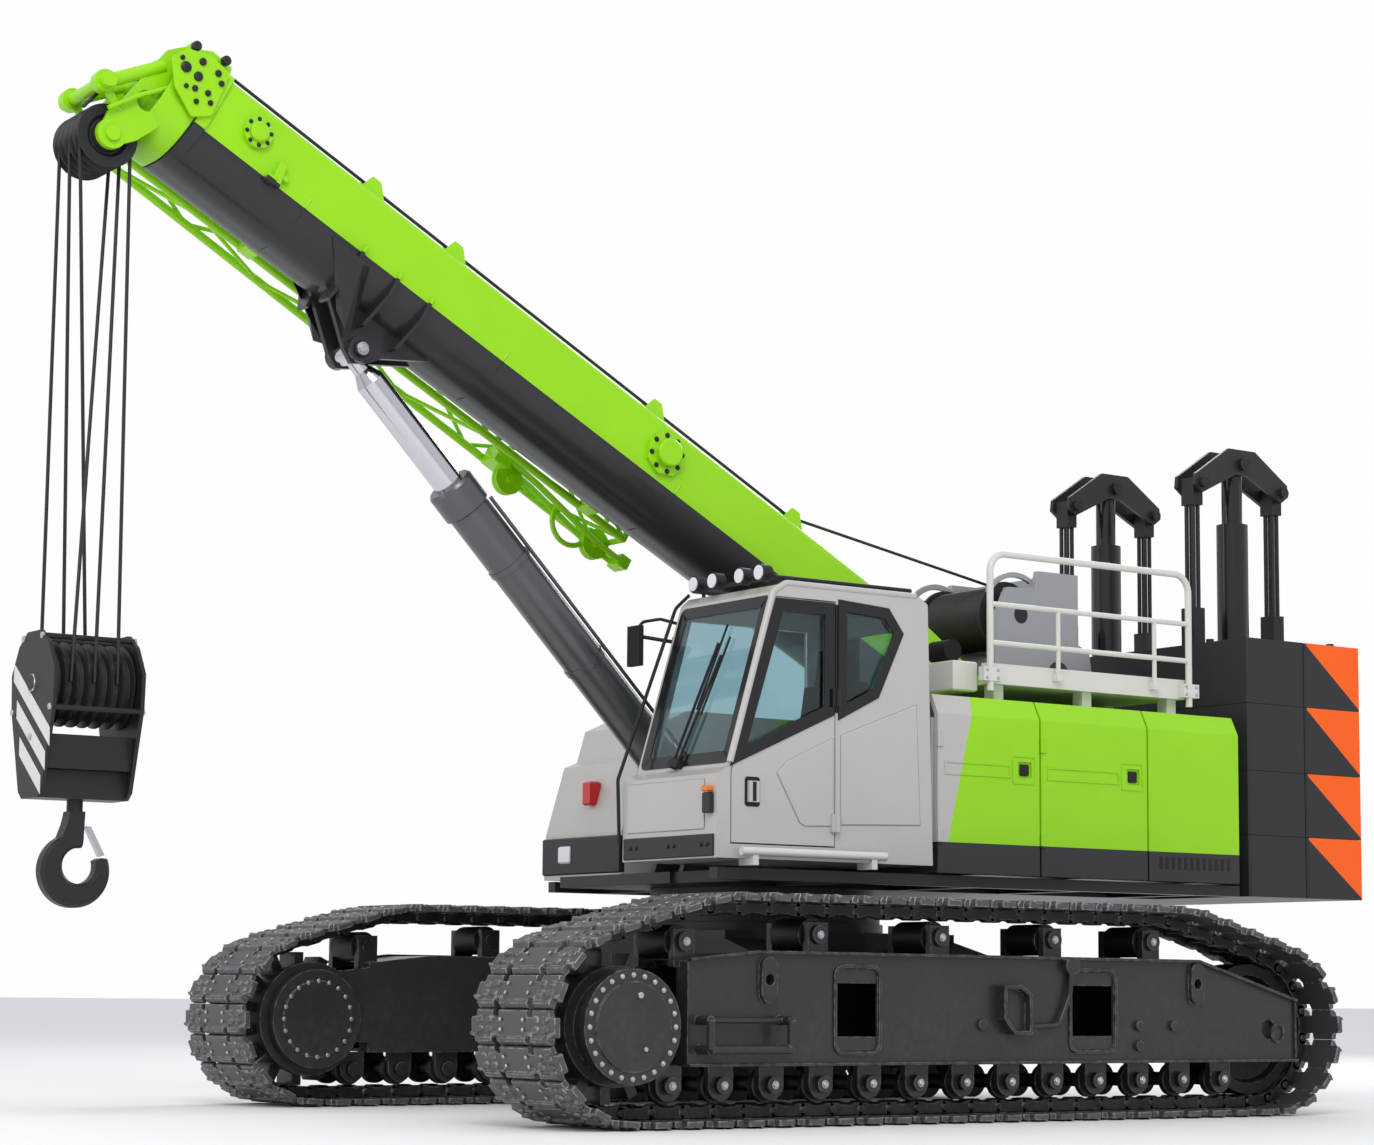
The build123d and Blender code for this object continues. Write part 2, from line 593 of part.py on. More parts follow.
def head_structure():
    """Two cheeks tied by cross tubes; tubular arms run forward to the ears that take a fly jib's pins."""
    pieces = []
    for side in (-1, 1):
        low, high = sorted((side * HEAD_IN, side * HEAD_OUT))
        pieces.append(head_cheek(low, high))
        middle = side * (HEAD_IN + HEAD_OUT) / 2
        pieces.append(strut((6560, middle, 375), (EAR_PIN[0], middle, EAR_PIN[1]), 40))
        pieces.append(strut((6640, middle, -20), (EAR_PIN[0], middle, EAR_PIN[1]), 26))
        boss_low, boss_high = sorted((side * 190, side * EAR_BOSS_OUT))
        pieces.append(boom_bar(EAR_BOSS_R, boss_low, boss_high, *EAR_PIN))
        stub_low, stub_high = sorted((side * EAR_BOSS_OUT, side * (EAR_BOSS_OUT + JIB_PIN_LEN)))
        pieces.append(boom_bar(JIB_PIN_R, stub_low, stub_high, *EAR_PIN))
    pieces.append(boom_bar(38, -200, 200, *EAR_PIN))
    for bar_x, bar_z, radius, reach in ((6480, 562, 30, 300), (6290, 605, 30, 300), (6560, 330, 42, 200)):
        pieces.append(boom_bar(radius, -reach, reach, bar_x, bar_z))
    pieces.append(block(6428, 6446, -200, 200, 62, 392))
    return joined(pieces)


def boom_tip():
    """Innermost section with the head that carries the sheaves."""
    width, up, down, tail, start, end = SECTIONS[-1][1:]
    body = inner_section(width, up, down, tail, start, end) + head_structure()
    axle = boom_bar(SHEAVE_BORE - FIT, -255, 255, *HEAD_SHEAVE)
    return on_boom(body + axle)


def sheave_profile(pitch, rim, groove):
    """Half-section of one grooved sheave of the pack, as (x, radius): hub, thin web and grooved rim."""
    half = pitch / 2 - 1
    return [(-half, 60), (-half, 85), (-16, 95), (-16, groove - 34), (-half + 2, groove - 16), (-half, rim - 4),
            (-half + 4, rim), (-12, groove), (12, groove), (half - 4, rim), (half, rim - 4), (half - 2, groove - 16),
            (16, groove - 34), (16, 95), (half, 85), (half, 60)]


def sheave_pack(count, pitch, rim, groove):
    """Sheaves side by side on one bush, axle along X."""
    pieces = []
    for i in range(count):
        pieces.append(turned(sheave_profile(pitch, rim, groove), (i - (count - 1) / 2) * pitch, 0, 0))
    width = count * pitch / 2
    bush = Cylinder(75, 2 * width - 2, rotation=(0, 90, 0))
    pack = joined([bush] + pieces)
    return pack - Cylinder(SHEAVE_BORE, 2 * width + 10, rotation=(0, 90, 0))


def boom_point(x, z):
    """A point of the boom's middle plane, in the machine."""
    angle = math.radians(BOOM_ANGLE)
    y = FOOT[1] - x * math.cos(angle) + z * math.sin(angle)
    return y, FOOT[2] + x * math.sin(angle) + z * math.cos(angle)


# ---------------------------------------------------------------- luffing cylinder
EYE_Y, EYE_Z = boom_point(*ROD_PIN)
CYLINDER_RISE = math.degrees(math.atan2(EYE_Z - CYLINDER_FOOT[2], CYLINDER_FOOT[1] - EYE_Y))
CYLINDER_LEN = math.hypot(EYE_Z - CYLINDER_FOOT[2], CYLINDER_FOOT[1] - EYE_Y)
CYLINDER_FRAME = Pos(*CYLINDER_FOOT) * Rot(0, 0, -90) * Rot(0, -CYLINDER_RISE, 0)


def cylinder_barrel():
    """Turned barrel with a gland at its mouth and an eye on its foot."""
    profile = [(0, 0), (0, 118), (90, BARREL_R), (BARREL_LEN - 200, BARREL_R), (BARREL_LEN - 190, BARREL_R + 18),
               (BARREL_LEN - 20, BARREL_R + 18), (BARREL_LEN, BARREL_R + 4), (BARREL_LEN, 0)]
    barrel = revolve(make_face(Plane.XZ * Polyline(*profile, close=True)), Axis.X)
    barrel += boom_bar(BARREL_R, -120, 120, 0, 0)
    bore = Pos(BARREL_LEN / 2 + 150, 0, 0) * Cylinder(ROD_R + 1, BARREL_LEN, rotation=(0, 90, 0))
    return CYLINDER_FRAME * (barrel - bore - boom_bar(CYLINDER_PIN_R, -130, 130, 0, 0))


def cylinder_rod():
    """Turned rod with a slim neck and the eye for the pin under the boom."""
    start, shoulder, neck = 700, CYLINDER_LEN - 210, CYLINDER_LEN - 130
    profile = [(start, 0), (start, ROD_R), (shoulder, ROD_R), (neck, 52), (CYLINDER_LEN, 52), (CYLINDER_LEN, 0)]
    rod = revolve(make_face(Plane.XZ * Polyline(*profile, close=True)), Axis.X)
    rod += boom_bar(EYE_R, -EYE_HALF, EYE_HALF, CYLINDER_LEN, 0)
    return CYLINDER_FRAME * (rod - boom_bar(CYLINDER_PIN_R, -EYE_HALF - 1, EYE_HALF + 1, CYLINDER_LEN, 0))


# ---------------------------------------------------------------- hook block
SHANK_R = 45
SHEAVE_Y, SHEAVE_Z = boom_point(*HEAD_SHEAVE)


def rope_falls():
    """Six falls; the block hangs a quarter turn round from the head, so the falls twist on their way."""
    falls = []
    for x in FALLS_X:
        for row in (-1, 1):
            top = (x, SHEAVE_Y + row * (HEAD_GROOVE_R + ROPE_R + FALL_GAP), SHEAVE_Z)
            low = (row * (BLOCK_GROOVE_R + ROPE_R + FALL_GAP), SHEAVE_Y + x * 2 * BLOCK_PITCH / FALLS_X[-1], BLOCK_Z)
            falls.append(strut(low, top, ROPE_R))
    return falls


def block_part(shape):
    """From block coordinates (sheave axle along X) to its place, a quarter turn round."""
    return Pos(0, SHEAVE_Y, BLOCK_Z) * Rot(0, 0, 90) * shape


def hook_block():
    """Two cheek plates, spacers above the sheaves and a crosshead that carries the hook."""
    outline = [(-205, 215), (-90, 290), (90, 290), (205, 215), (300, 60), (290, -140), (160, -600), (110, -640),
               (-110, -640), (-160, -600), (-290, -140), (-300, 60)]
    pieces = []
    for x in (250, -272):
        pieces.append(side_plate(outline, x, x + 22))
    for y, z in ((-130, 255), (130, 255), (-262, -150), (262, -150), (0, -300)):
        pieces.append(cross_rod(16, -255, 255, y, z))
    pieces.append(block(-255, 255, -110, 110, -640, -480))
    pieces.append(block(-255, 255, -175, -160, -480, -290))
    pieces.append(block(-255, 255, 160, 175, -480, -290))
    pieces.append(cross_rod(SHEAVE_BORE - FIT, -285, 285, 0, 0))
    return block_part(joined(pieces) - Pos(0, 0, -560) * Cylinder(SHANK_R + 1, 300))


def hook():
    """Point hook: a bowl round an off-centre throat, with a round shank through the crosshead."""
    throat_round = Pos(22, 28) * Circle(100)
    throat = make_face(Polyline((25, 60), (60, 330), (330, 330), (330, 60), (150, 75), (122, 60), close=True))
    neck = make_face(Polyline((-120, 100), (-60, 260), (-45, 330), (45, 330), (40, 200), (-30, 90), close=True))
    flat = Plane.YZ * (Circle(205) + neck - throat - throat_round)
    body = Pos(-48, 0, 0) * extrude(flat, amount=96, dir=(1, 0, 0))
    body = chamfer(body.edges().filter_by(GeomType.CIRCLE), 16)
    shank = Pos(0, 0, 395) * Cylinder(SHANK_R, 250)
    return Pos(0, SHEAVE_Y, 1385) * (body + shank)


def latch():
    """Spring latch that closes the hook's mouth."""
    return Pos(0, SHEAVE_Y, 1385) * side_plate([(62, 250), (92, 250), (178, 92), (150, 84)], -22, 22)


# ---------------------------------------------------------------- winch
def winch_frame():
    """Two side plates either side of the drum, tied at the back and standing on the boom cheeks."""
    y, z = WINCH[1:]
    outline = [(1560, 2700), (2480, 2700), (2420, 3080), (2320, 3120), (2320, 3600), (1960, 3600), (1930, 3480),
               (1690, 3470), (1600, 3300)]
    pieces = []
    for x in (CHEEK_IN, -CHEEK_OUT + 20):
        plate = side_plate(outline, x, x + 45)
        pieces.append(plate - cross_rod(95, x - 1, x + 46, 2140, 2900))
    # motor housing behind the drum, ribbed on its back
    housing = block(-CHEEK_IN, CHEEK_IN, 2085, 2300, 3120, 3580) - block(-400, 400, 2115, 2301, 3150, 3550)
    for x in (-280, -140, 0, 140, 280):
        housing += block(x - 8, x + 8, 2100, 2298, 3125, 3575)
    pieces.append(housing)
    pieces.append(cross_rod(38, -CHEEK_IN, CHEEK_IN, 2400, 2780))
    return joined(pieces) - cross_rod(DRUM_JOURNAL, -600, 600, y, z)


def winch_drum():
    """Drum with two flanges, running in the side plates on plain journals."""
    half, journal, end = DRUM_HALF, DRUM_JOURNAL - FIT, CHEEK_IN + 45
    profile = [(-end, 0), (-end, journal), (-half - 40, journal), (-half - 40, 110), (-half - 25, DRUM_FLANGE_R),
               (-half, DRUM_FLANGE_R), (-half, DRUM_R), (half, DRUM_R), (half, DRUM_FLANGE_R),
               (half + 25, DRUM_FLANGE_R), (half + 40, 110), (half + 40, journal), (end, journal), (end, 0)]
    return turned(profile, *WINCH)


# ---------------------------------------------------------------- cab
CAB_OUTLINE = [(-1430, CAB_LOW), (-1430, 2010), (-1330, 2060), (-1015, 3110), (-960, CAB_HIGH), (90, CAB_HIGH),
               (150, 3120), (190, CAB_LOW)]
DOOR_OUTLINE = [(-1325, 1612), (-1325, 2030), (-1000, 3075), (-570, 3075), (-570, 1612)]
DOOR_WINDOW = [(-1255, 2150), (-975, 3020), (-625, 3020), (-625, 2430)]
REAR_WINDOW = [(-500, 2440), (-500, 3050), (-180, 3030), (-95, 2920), (-270, 2555)]
RIGHT_WINDOW = [(-1200, 2150), (-960, 3020), (-60, 3020), (-60, 2300)]
GLASS = 8


def grown_plate(outline, by, x0, x1):
    """Side plate whose outline is moved out by 'by'."""
    face = make_face(Polyline(*outline, close=True))
    face = offset(face, amount=by, kind=Kind.INTERSECTION)
    return Pos(x0, 0, 0) * extrude(Plane.YZ * face, amount=x1 - x0, dir=(1, 0, 0))


def cab_shell():
    """Sheet cab as one hollow shell with openings for the door, the windscreen and the panes."""
    shell = side_plate(CAB_OUTLINE, CAB_IN, CAB_OUT)
    shell -= grown_plate(CAB_OUTLINE, -CAB_WALL, CAB_IN + CAB_WALL, CAB_OUT - CAB_WALL)
    shell -= grown_plate(DOOR_OUTLINE, 8, CAB_OUT - CAB_WALL - 1, CAB_OUT + 1)
    shell -= side_plate(REAR_WINDOW, CAB_OUT - CAB_WALL - 1, CAB_OUT + 1)
    shell -= side_plate(RIGHT_WINDOW, CAB_IN - 1, CAB_IN + CAB_WALL + 1)
    # windscreen and rear window
    shell -= windscreen_slab(-1, 70, 60)
    shell -= block(CAB_IN + 110, CAB_OUT - 110, 100, 250, 2350, 2980)
    return shell


def windscreen_slab(inside, outside, border):
    """Slab parallel to the sloping front, between its posts."""
    (y0, z0), (y1, z1) = CAB_OUTLINE[2], CAB_OUTLINE[3]
    length = math.dist((y0, z0), (y1, z1))
    lean = math.degrees(math.atan2(z1 - z0, y1 - y0))
    slab = Box(CAB_OUT - CAB_IN - 2 * border, length - 2 * border, outside - inside)
    middle = ((CAB_IN + CAB_OUT) / 2, (y0 + y1) / 2, (z0 + z1) / 2)
    return Pos(*middle) * Rot(lean, 0, 0) * Pos(0, 0, -(inside + outside) / 2 + 20) * slab


def windscreen():
    """Pane of the sloping front."""
    return windscreen_slab(18, 18 + GLASS, 61)


def cab_door():
    """Door panel with its window opening, a hinge tube along its rear edge and a handle."""
    door = side_plate(DOOR_OUTLINE, CAB_OUT - CAB_WALL, CAB_OUT)
    door -= side_plate(DOOR_WINDOW, CAB_OUT - CAB_WALL - 1, CAB_OUT + 1)
    for z in (1750, 2500):
        door += Pos(DOOR_HINGE[0], DOOR_HINGE[1], z) * Cylinder(16, 110)
        door += block(CAB_OUT - 10, DOOR_HINGE[0], DOOR_HINGE[1] - 40, DOOR_HINGE[1] - 8, z - 55, z + 55)
    handle = block(CAB_OUT, CAB_OUT + 25, -1215, -1140, 1850, 1975)
    return door + handle


def door_glass():
    """Pane of the door."""
    return grown_plate(DOOR_WINDOW, -1, CAB_OUT - 26, CAB_OUT - 26 + GLASS)


def side_glass():
    """Panes behind the door and on the right side of the cab."""
    left = grown_plate(REAR_WINDOW, -1, CAB_OUT - 26, CAB_OUT - 26 + GLASS)
    right = grown_plate(RIGHT_WINDOW, -1, CAB_IN + 18, CAB_IN + 18 + GLASS)
    rear = block(CAB_IN + 111, CAB_OUT - 111, 145, 145 + GLASS, 2351, 2979)
    return left, right, rear


def seat():
    """Operator's seat on a pedestal: cushion, back and headrest."""
    x = (CAB_IN + CAB_OUT) / 2
    foot = block(x - 180, x + 180, -640, -180, CAB_LOW + CAB_WALL, 1900)
    cushion = block(x - 260, x + 260, -760, -200, 1900, 2040)
    back = side_plate([(-230, 2040), (-330, 2060), (-240, 2640), (-130, 2640), (-120, 2040)], x - 250, x + 250)
    head = side_plate([(-250, 2640), (-225, 2860), (-130, 2860), (-130, 2640)], x - 130, x + 130)
    return joined([foot, cushion, back, head])


def console():
    """Joystick consoles on both sides of the seat and the instrument post in the front corner."""
    x = (CAB_IN + CAB_OUT) / 2
    pieces = []
    for side in (-1, 1):
        low, high = sorted((x + side * 280, x + side * 380))
        pieces.append(block(low, high, -850, -300, CAB_LOW + CAB_WALL, 2180))
    pieces.append(block(CAB_IN + 60, CAB_IN + 200, -1150, -1050, CAB_LOW + CAB_WALL, 2150))
    return pieces


def step_rail():
    """Round rail under the door on two stays, in front of the charcoal skirt."""
    rail = Pos(1560, -760, 1560) * Cylinder(26, 1070, rotation=(90, 0, 0))
    for y in (-1200, -320):
        rail += block(1430, 1560, y - 20, y + 20, 1480, 1520) + block(1545, 1575, y - 20, y + 20, 1480, 1560)
    return rail


def roof_rack():
    """Tube frame on the cab roof that carries the work lamps."""
    z = CAB_HIGH + 45
    pieces = []
    for x in (600, 1440):
        pieces.append(strut((x, -980, z), (x, 60, z), 14))
        for y in (-900, 0):
            pieces.append(strut((x, y, CAB_HIGH), (x, y, z), 12))
    pieces.append(strut((600, -980, z), (1440, -980, z), 14))
    pieces.append(strut((600, 60, z), (1440, 60, z), 14))
    for x in (680, 880, 1160, 1360):
        lamp = Pos(x, -1000, z + 30) * Cylinder(52, 70, rotation=(90, 0, 0))
        pieces.append(lamp)
    return joined(pieces)


def cab_mirror():
    """Mirror on a stay from the cab's right front post."""
    foot = block(CAB_IN - 14, CAB_IN, -1070, -1010, 2860, 2920)
    arm = strut((CAB_IN - 12, -1040, 2890), (CAB_IN - 150, -1250, 2930), 12)
    return foot + arm + block(CAB_IN - 215, CAB_IN - 85, -1270, -1235, 2740, 2990)


# ---------------------------------------------------------------- houses
FRONT_HOUSING = [(-730, 1480), (-720, 1780), (-580, 2245), (-480, 2285), (-415, 2500), (-210, 2590),
                 (205, 2590), (205, 1480)]


def front_housing():
    """Sloping housing beside the boom on the right: air intake and tool locker."""
    shell = side_plate(FRONT_HOUSING, -1480, -560)
    return shell - grown_plate(FRONT_HOUSING, -30, -1450, -590)


def panel_profile(y0, y1):
    """Side panel with its chamfered top edge, as thick as the whole door."""
    outside = [(SIDE, HOUSE_LOW), (SIDE, CHAMFER_Z), (CHAMFER_X, HOUSE_HIGH), (1380, HOUSE_HIGH),
               (1380, HOUSE_HIGH - PANEL), (CHAMFER_X - 18, HOUSE_HIGH - PANEL), (SIDE - PANEL, CHAMFER_Z - 12),
               (SIDE - PANEL, HOUSE_LOW)]
    face = make_face(Plane.XZ * Polyline(*outside, close=True))
    return Pos(0, y1, 0) * extrude(face, amount=y1 - y0, dir=(0, -1, 0))


DOORS = [("front_door", HOUSE_FRONT + 15, 1055), ("middle_door", 1070, 1975)]     # name, from y, to y
REAR_PANEL = (1990, HOUSE_REAR)


def service_door(y0, y1):
    """Side door, hinged at its front edge, with a latch pocket near its rear edge."""
    door = panel_profile(y0, y1)
    pocket = block(SIDE - 14, SIDE + 1, y1 - 175, y1 - 65, 2090, 2190)
    latch_body = block(SIDE - 16, SIDE - 4, y1 - 150, y1 - 90, 2110, 2170)
    barrels = [Pos(SIDE + 6, y0 + 4, z) * Cylinder(12, 90) for z in (1700, 2300)]
    leaf = [block(SIDE - 4, SIDE + 6, y0 + 2, y0 + 40, z - 45, z + 45) for z in (1700, 2300)]
    return joined([door - pocket, latch_body] + barrels + leaf)


def house_frame():
    """Engine bay behind the doors: floor, roof, inner wall and end walls, with its fixed rear panel."""
    low = 2435
    shell = block(560, 1455, HOUSE_FRONT, HOUSE_REAR, HOUSE_LOW, low)
    shell += block(560, 1370, HOUSE_FRONT, HOUSE_REAR, low, HOUSE_HIGH)
    shell -= block(590, 1425, HOUSE_FRONT + 30, HOUSE_REAR - 30, HOUSE_LOW + 30, low - 30)
    shell -= block(590, 1340, HOUSE_FRONT + 30, HOUSE_REAR - 30, low - 40, HOUSE_HIGH - 40)
    for y0, y1 in ((HOUSE_FRONT + 60, 1030), (1100, 1945)):
        shell -= block(1400, 1460, y0, y1, HOUSE_LOW + 60, low - 30)
    shell += block(1450, SIDE - PANEL, REAR_PANEL[0] + 20, REAR_PANEL[1], HOUSE_LOW, low)
    return shell + panel_profile(*REAR_PANEL)


def engine():
    """Block that stands for the engine and its pumps, which only the service doors' gaps show."""
    return block(640, 1320, 700, 2300, HOUSE_LOW + 30.5, 2350)


# ---------------------------------------------------------------- walkway and handrail
def walkway():
    """Deck plate over the left house with an edge beam."""
    plate = block(560, 1292, 800, 2470, 2690, 2712)
    beam = block(1290, 1345, 760, 2475, 2690, 2820) - block(1290, 1335, 765, 2470, 2700, 2810)
    feet = [block(1200, 1290, y - 40, y + 40, HOUSE_HIGH, 2692) for y in (900, 1650, 2400)]
    feet += [block(600, 690, y - 40, y + 40, HOUSE_HIGH, 2692) for y in (900, 2400)]
    return joined([plate, beam] + feet)


def handrail():
    """Bent tube rail on two foot plates, with two bars and two short posts."""
    x, low, high = 1375, 2640, 3515
    front, rear, bend = 760, 2480, 120
    path = FilletPolyline((x, front, low), (x, front, high), (x, rear, high), (x, rear, low), radius=bend)
    hoop = sweep(Plane(origin=(x, front, low), z_dir=(0, 0, 1)) * Circle(22), path)
    pieces = [hoop]
    for z in (2945, 3190):
        pieces.append(strut((x, front, z), (x, rear, z), 17))
    posts = (1330, 2170)
    for y in posts:
        pieces.append(strut((x, y, 2740), (x, y, 3190), 15))
        pieces.append(block(1345, 1392, y - 24, y + 24, 2735, 2790))
    for y in (front, rear):
        pieces.append(block(1345, 1399, y - 70, y + 70, 2700, 2790))
    return joined(pieces)


# ---------------------------------------------------------------- counterweight
def weight_row(z0, z1):
    """One course: a front and a rear block with chamfered outer corners."""
    gap = 3
    blocks = []
    for y0, y1 in ((WEIGHT_FRONT, WEIGHT_SPLIT - gap), (WEIGHT_SPLIT + gap, WEIGHT_REAR)):
        slab = block(-SIDE + 30, SIDE - 30, y0, y1, z0 + gap, z1)
        blocks.append(chamfer(slab.edges().filter_by(Axis.Z), 14))
    return blocks


def lift_cylinders():
    """Upright cylinders that lift the counterweight courses."""
    base, mid = WEIGHT_LEVELS[-1], 4050
    pair = []
    for x in (LIFT_X, -LIFT_X):
        foot = Pos(x, LIFT_Y, base + 40) * Box(260, 300, 80)
        barrel = Pos(x, LIFT_Y, (base + mid) / 2) * Cylinder(110, mid - base)
        rod = Pos(x, LIFT_Y, (mid + LIFT_PIN_Z) / 2) * Cylinder(72, LIFT_PIN_Z - mid + 90)
        pair.append(joined([foot, barrel, rod]) - cross_rod(LIFT_PIN_R, x - 100, x + 100, LIFT_Y, LIFT_PIN_Z))
    return pair


def lift_beams():
    """Cranked crossbeams: a pair of plates over each cylinder, with a hanger pin at each end."""
    beams = []
    end = LIFT_PIN_Z - LIFT_END_DROP
    outline = [
        (LIFT_Y - LIFT_REACH - 70, end - 20), (LIFT_Y - LIFT_REACH - 60, end + 60), (LIFT_Y - 130, LIFT_PIN_Z + 105),
        (LIFT_Y + 130, LIFT_PIN_Z + 105), (LIFT_Y + LIFT_REACH + 60, end + 60), (LIFT_Y + LIFT_REACH + 70, end - 20),
        (LIFT_Y + LIFT_REACH, end - 70), (LIFT_Y + 60, LIFT_PIN_Z - 75), (LIFT_Y - 60, LIFT_PIN_Z - 75),
        (LIFT_Y - LIFT_REACH, end - 70),
    ]
    for x in (LIFT_X, -LIFT_X):
        plates = [side_plate(outline, x + 75, x + 105), side_plate(outline, x - 105, x - 75)]
        bars = [cross_rod(LIFT_PIN_R, x - 125, x + 125, LIFT_Y, LIFT_PIN_Z)]
        for y in (LIFT_Y - LIFT_REACH, LIFT_Y + LIFT_REACH):
            bars.append(cross_rod(HANGER_PIN_R, x - 125, x + 125, y, end))
        beams.append(joined(plates + bars))
    return beams


def lift_hangers():
    """Rod bundles from the crossbeam pins down to lugs on the top course."""
    top = LIFT_PIN_Z - LIFT_END_DROP
    base = WEIGHT_LEVELS[-1]
    hangers = []
    for x in (LIFT_X, -LIFT_X):
        for y in (LIFT_Y - LIFT_REACH, LIFT_Y + LIFT_REACH):
            head = block(x - 60, x + 60, y - 45, y + 45, top - 150, top + 40)
            head -= cross_rod(HANGER_PIN_R, x - 80, x + 80, y, top)
            rods = [Pos(x + dx, y + dy, (base + top) / 2) * Cylinder(15, top - base - 60)
                    for dx in (-32, 32) for dy in (-22, 22)]
            lug = block(x - 65, x + 65, y - 50, y + 50, base, base + 300)
            hangers.append(joined([head] + rods + [lug]))
    return hangers


# ---------------------------------------------------------------- lattice jib, stowed beside the boom
JIB_ROOT, JIB_TIP, JIB_BAYS = 2250, 6300, 7
JIB_IN, JIB_OUT = -450, -800                # across the boom
JIB_LOW, JIB_HIGH = 60, 440
JIB_TAPER = 0.42
CHORD_R = 26


def jib_corner(station, out, up):
    """Corner of the jib's section at a station, in the boom frame."""
    share = station / JIB_BAYS
    narrow = 1 - JIB_TAPER * share
    y = (JIB_IN + JIB_OUT) / 2 + narrow * (JIB_OUT - JIB_IN) / 2 * out
    z = (JIB_LOW + JIB_HIGH) / 2 - 20 * share + narrow * (JIB_HIGH - JIB_LOW) / 2 * up
    return JIB_ROOT + (JIB_TIP - JIB_ROOT) * share, y, z


def jib_chord(out, up):
    """One of the four long tubes of the jib."""
    return strut(jib_corner(0, out, up), jib_corner(JIB_BAYS, out, up), CHORD_R)


def lattice_jib():
    """Four chords drawn together towards the tip, with zigzag bracing on every side."""
    pieces = [jib_chord(out, up) for out in (-1, 1) for up in (-1, 1)]
    for i in range(JIB_BAYS):
        flip = 1 if i % 2 else -1
        for out in (-1, 1):
            pieces.append(strut(jib_corner(i, out, flip), jib_corner(i + 1, out, -flip), 13))
        for up in (-1, 1):
            pieces.append(strut(jib_corner(i, flip, up), jib_corner(i + 1, -flip, up), 13))
    for station in (0, JIB_BAYS):
        for out in (-1, 1):
            pieces.append(strut(jib_corner(station, out, -1), jib_corner(station, out, 1), 20))
        for up in (-1, 1):
            pieces.append(strut(jib_corner(station, -1, up), jib_corner(station, 1, up), 20))
    return joined(pieces)


def jib_brackets(jib):
    """Arms that clasp the jib's upper inside chord to the boom's right side, in the boom frame."""
    arms = []
    for x in (2700, 4850):
        top = jib_corner((x - JIB_ROOT) / (JIB_TIP - JIB_ROOT) * JIB_BAYS, -1, 1)[2] + 45
        arm = boom_plate([(x - 110, 150), (x + 110, 150), (x + 45, top), (x - 45, top)], -520, 4 - BOOM_W / 2)
        arms.append(arm - jib)
    return arms


# ---------------------------------------------------------------- write every node
left_frame = Pos(TRACK_CENTRE, 0, 0) * frame_with_brackets()
for side, label, frame in ((1, "left", left_frame), (-1, "right", mirrored(left_frame))):
    place = Pos(side * TRACK_CENTRE, 0, 0)
    save(f"{label}_track", track(side))
    save(f"{label}_track_frame", frame)
    save(f"{label}_drive_wheel", place * drive_wheel())
    save(f"{label}_idler", place * idler())
    save(f"{label}_rollers", *[place * roller for roller in rollers()])
save("carbody", carbody())
save("slew_ring_lower", lower_ring())
save("slew_ring_upper", upper_ring())
save("deck_frame", *deck_frame())
save("boom_and_cylinder_pins", *pins())
jib = lattice_jib()
save("boom_base", boom_base(jib))
for name, width, up, down, tail, start, end in SECTIONS[:-1]:
    save(name, on_boom(inner_section(width, up, down, tail, start, end)))
save("boom_section_4", boom_tip())
head_pack = sheave_pack(HEAD_SHEAVES, HEAD_PITCH, HEAD_SHEAVE_R, HEAD_GROOVE_R)
save("head_sheaves", Pos(0, SHEAVE_Y, SHEAVE_Z) * head_pack)
save("luff_cylinder_barrel", cylinder_barrel())
save("luff_cylinder_rod", cylinder_rod())
save("fly_jib", on_boom(jib))
save("hoist_rope_falls", *rope_falls())
save("hook_block", hook_block())
save("hook_block_sheaves", block_part(sheave_pack(BLOCK_SHEAVES, BLOCK_PITCH, BLOCK_SHEAVE_R, BLOCK_GROOVE_R)))
save("hook", hook())
save("hook_latch", latch())
save("winch_frame", winch_frame())
save("winch_drum", winch_drum())
save("cab_shell", cab_shell())
save("cab_glass", windscreen(), *side_glass())
save("cab_door", cab_door())
save("door_glass", door_glass())
save("cab_seat", seat())
save("cab_consoles", *console())
save("cab_step_rail", step_rail())
save("roof_lamp_rack", roof_rack())
save("cab_mirror", cab_mirror())
save("front_housing", front_housing())
house = house_frame()
save("left_house_frame", house)
save("right_house_frame", mirrored(house))
for name, y0, y1 in DOORS:
    door = service_door(y0, y1)
    save(f"left_{name}", door)
    save(f"right_{name}", mirrored(door))
save("engine", engine())
save("walkway", walkway())
save("handrail", handrail())
for number, (z0, z1) in enumerate(zip(WEIGHT_LEVELS, WEIGHT_LEVELS[1:]), 1):
    save(f"counterweight_row_{number}", *weight_row(z0, z1))
save("counterweight_cylinders", *lift_cylinders())
save("counterweight_crossbeams", *lift_beams())
save("counterweight_hangers", *lift_hangers())
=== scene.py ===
# %% [markdown]
# # A crawler crane with a telescopic boom
# The construction model brings every piece at its real size: tracks, boom, cab, counterweight and hook
# block. This notebook gives it its looks, one part of the machine at a time. New surfaces are worked out
# with numpy as whole arrays, and one small node group gives all painted and bare metal its finish.

# %% Load the construction model
import json
import math

import bmesh
import bpy
import numpy as np
from mathutils import Matrix, Vector


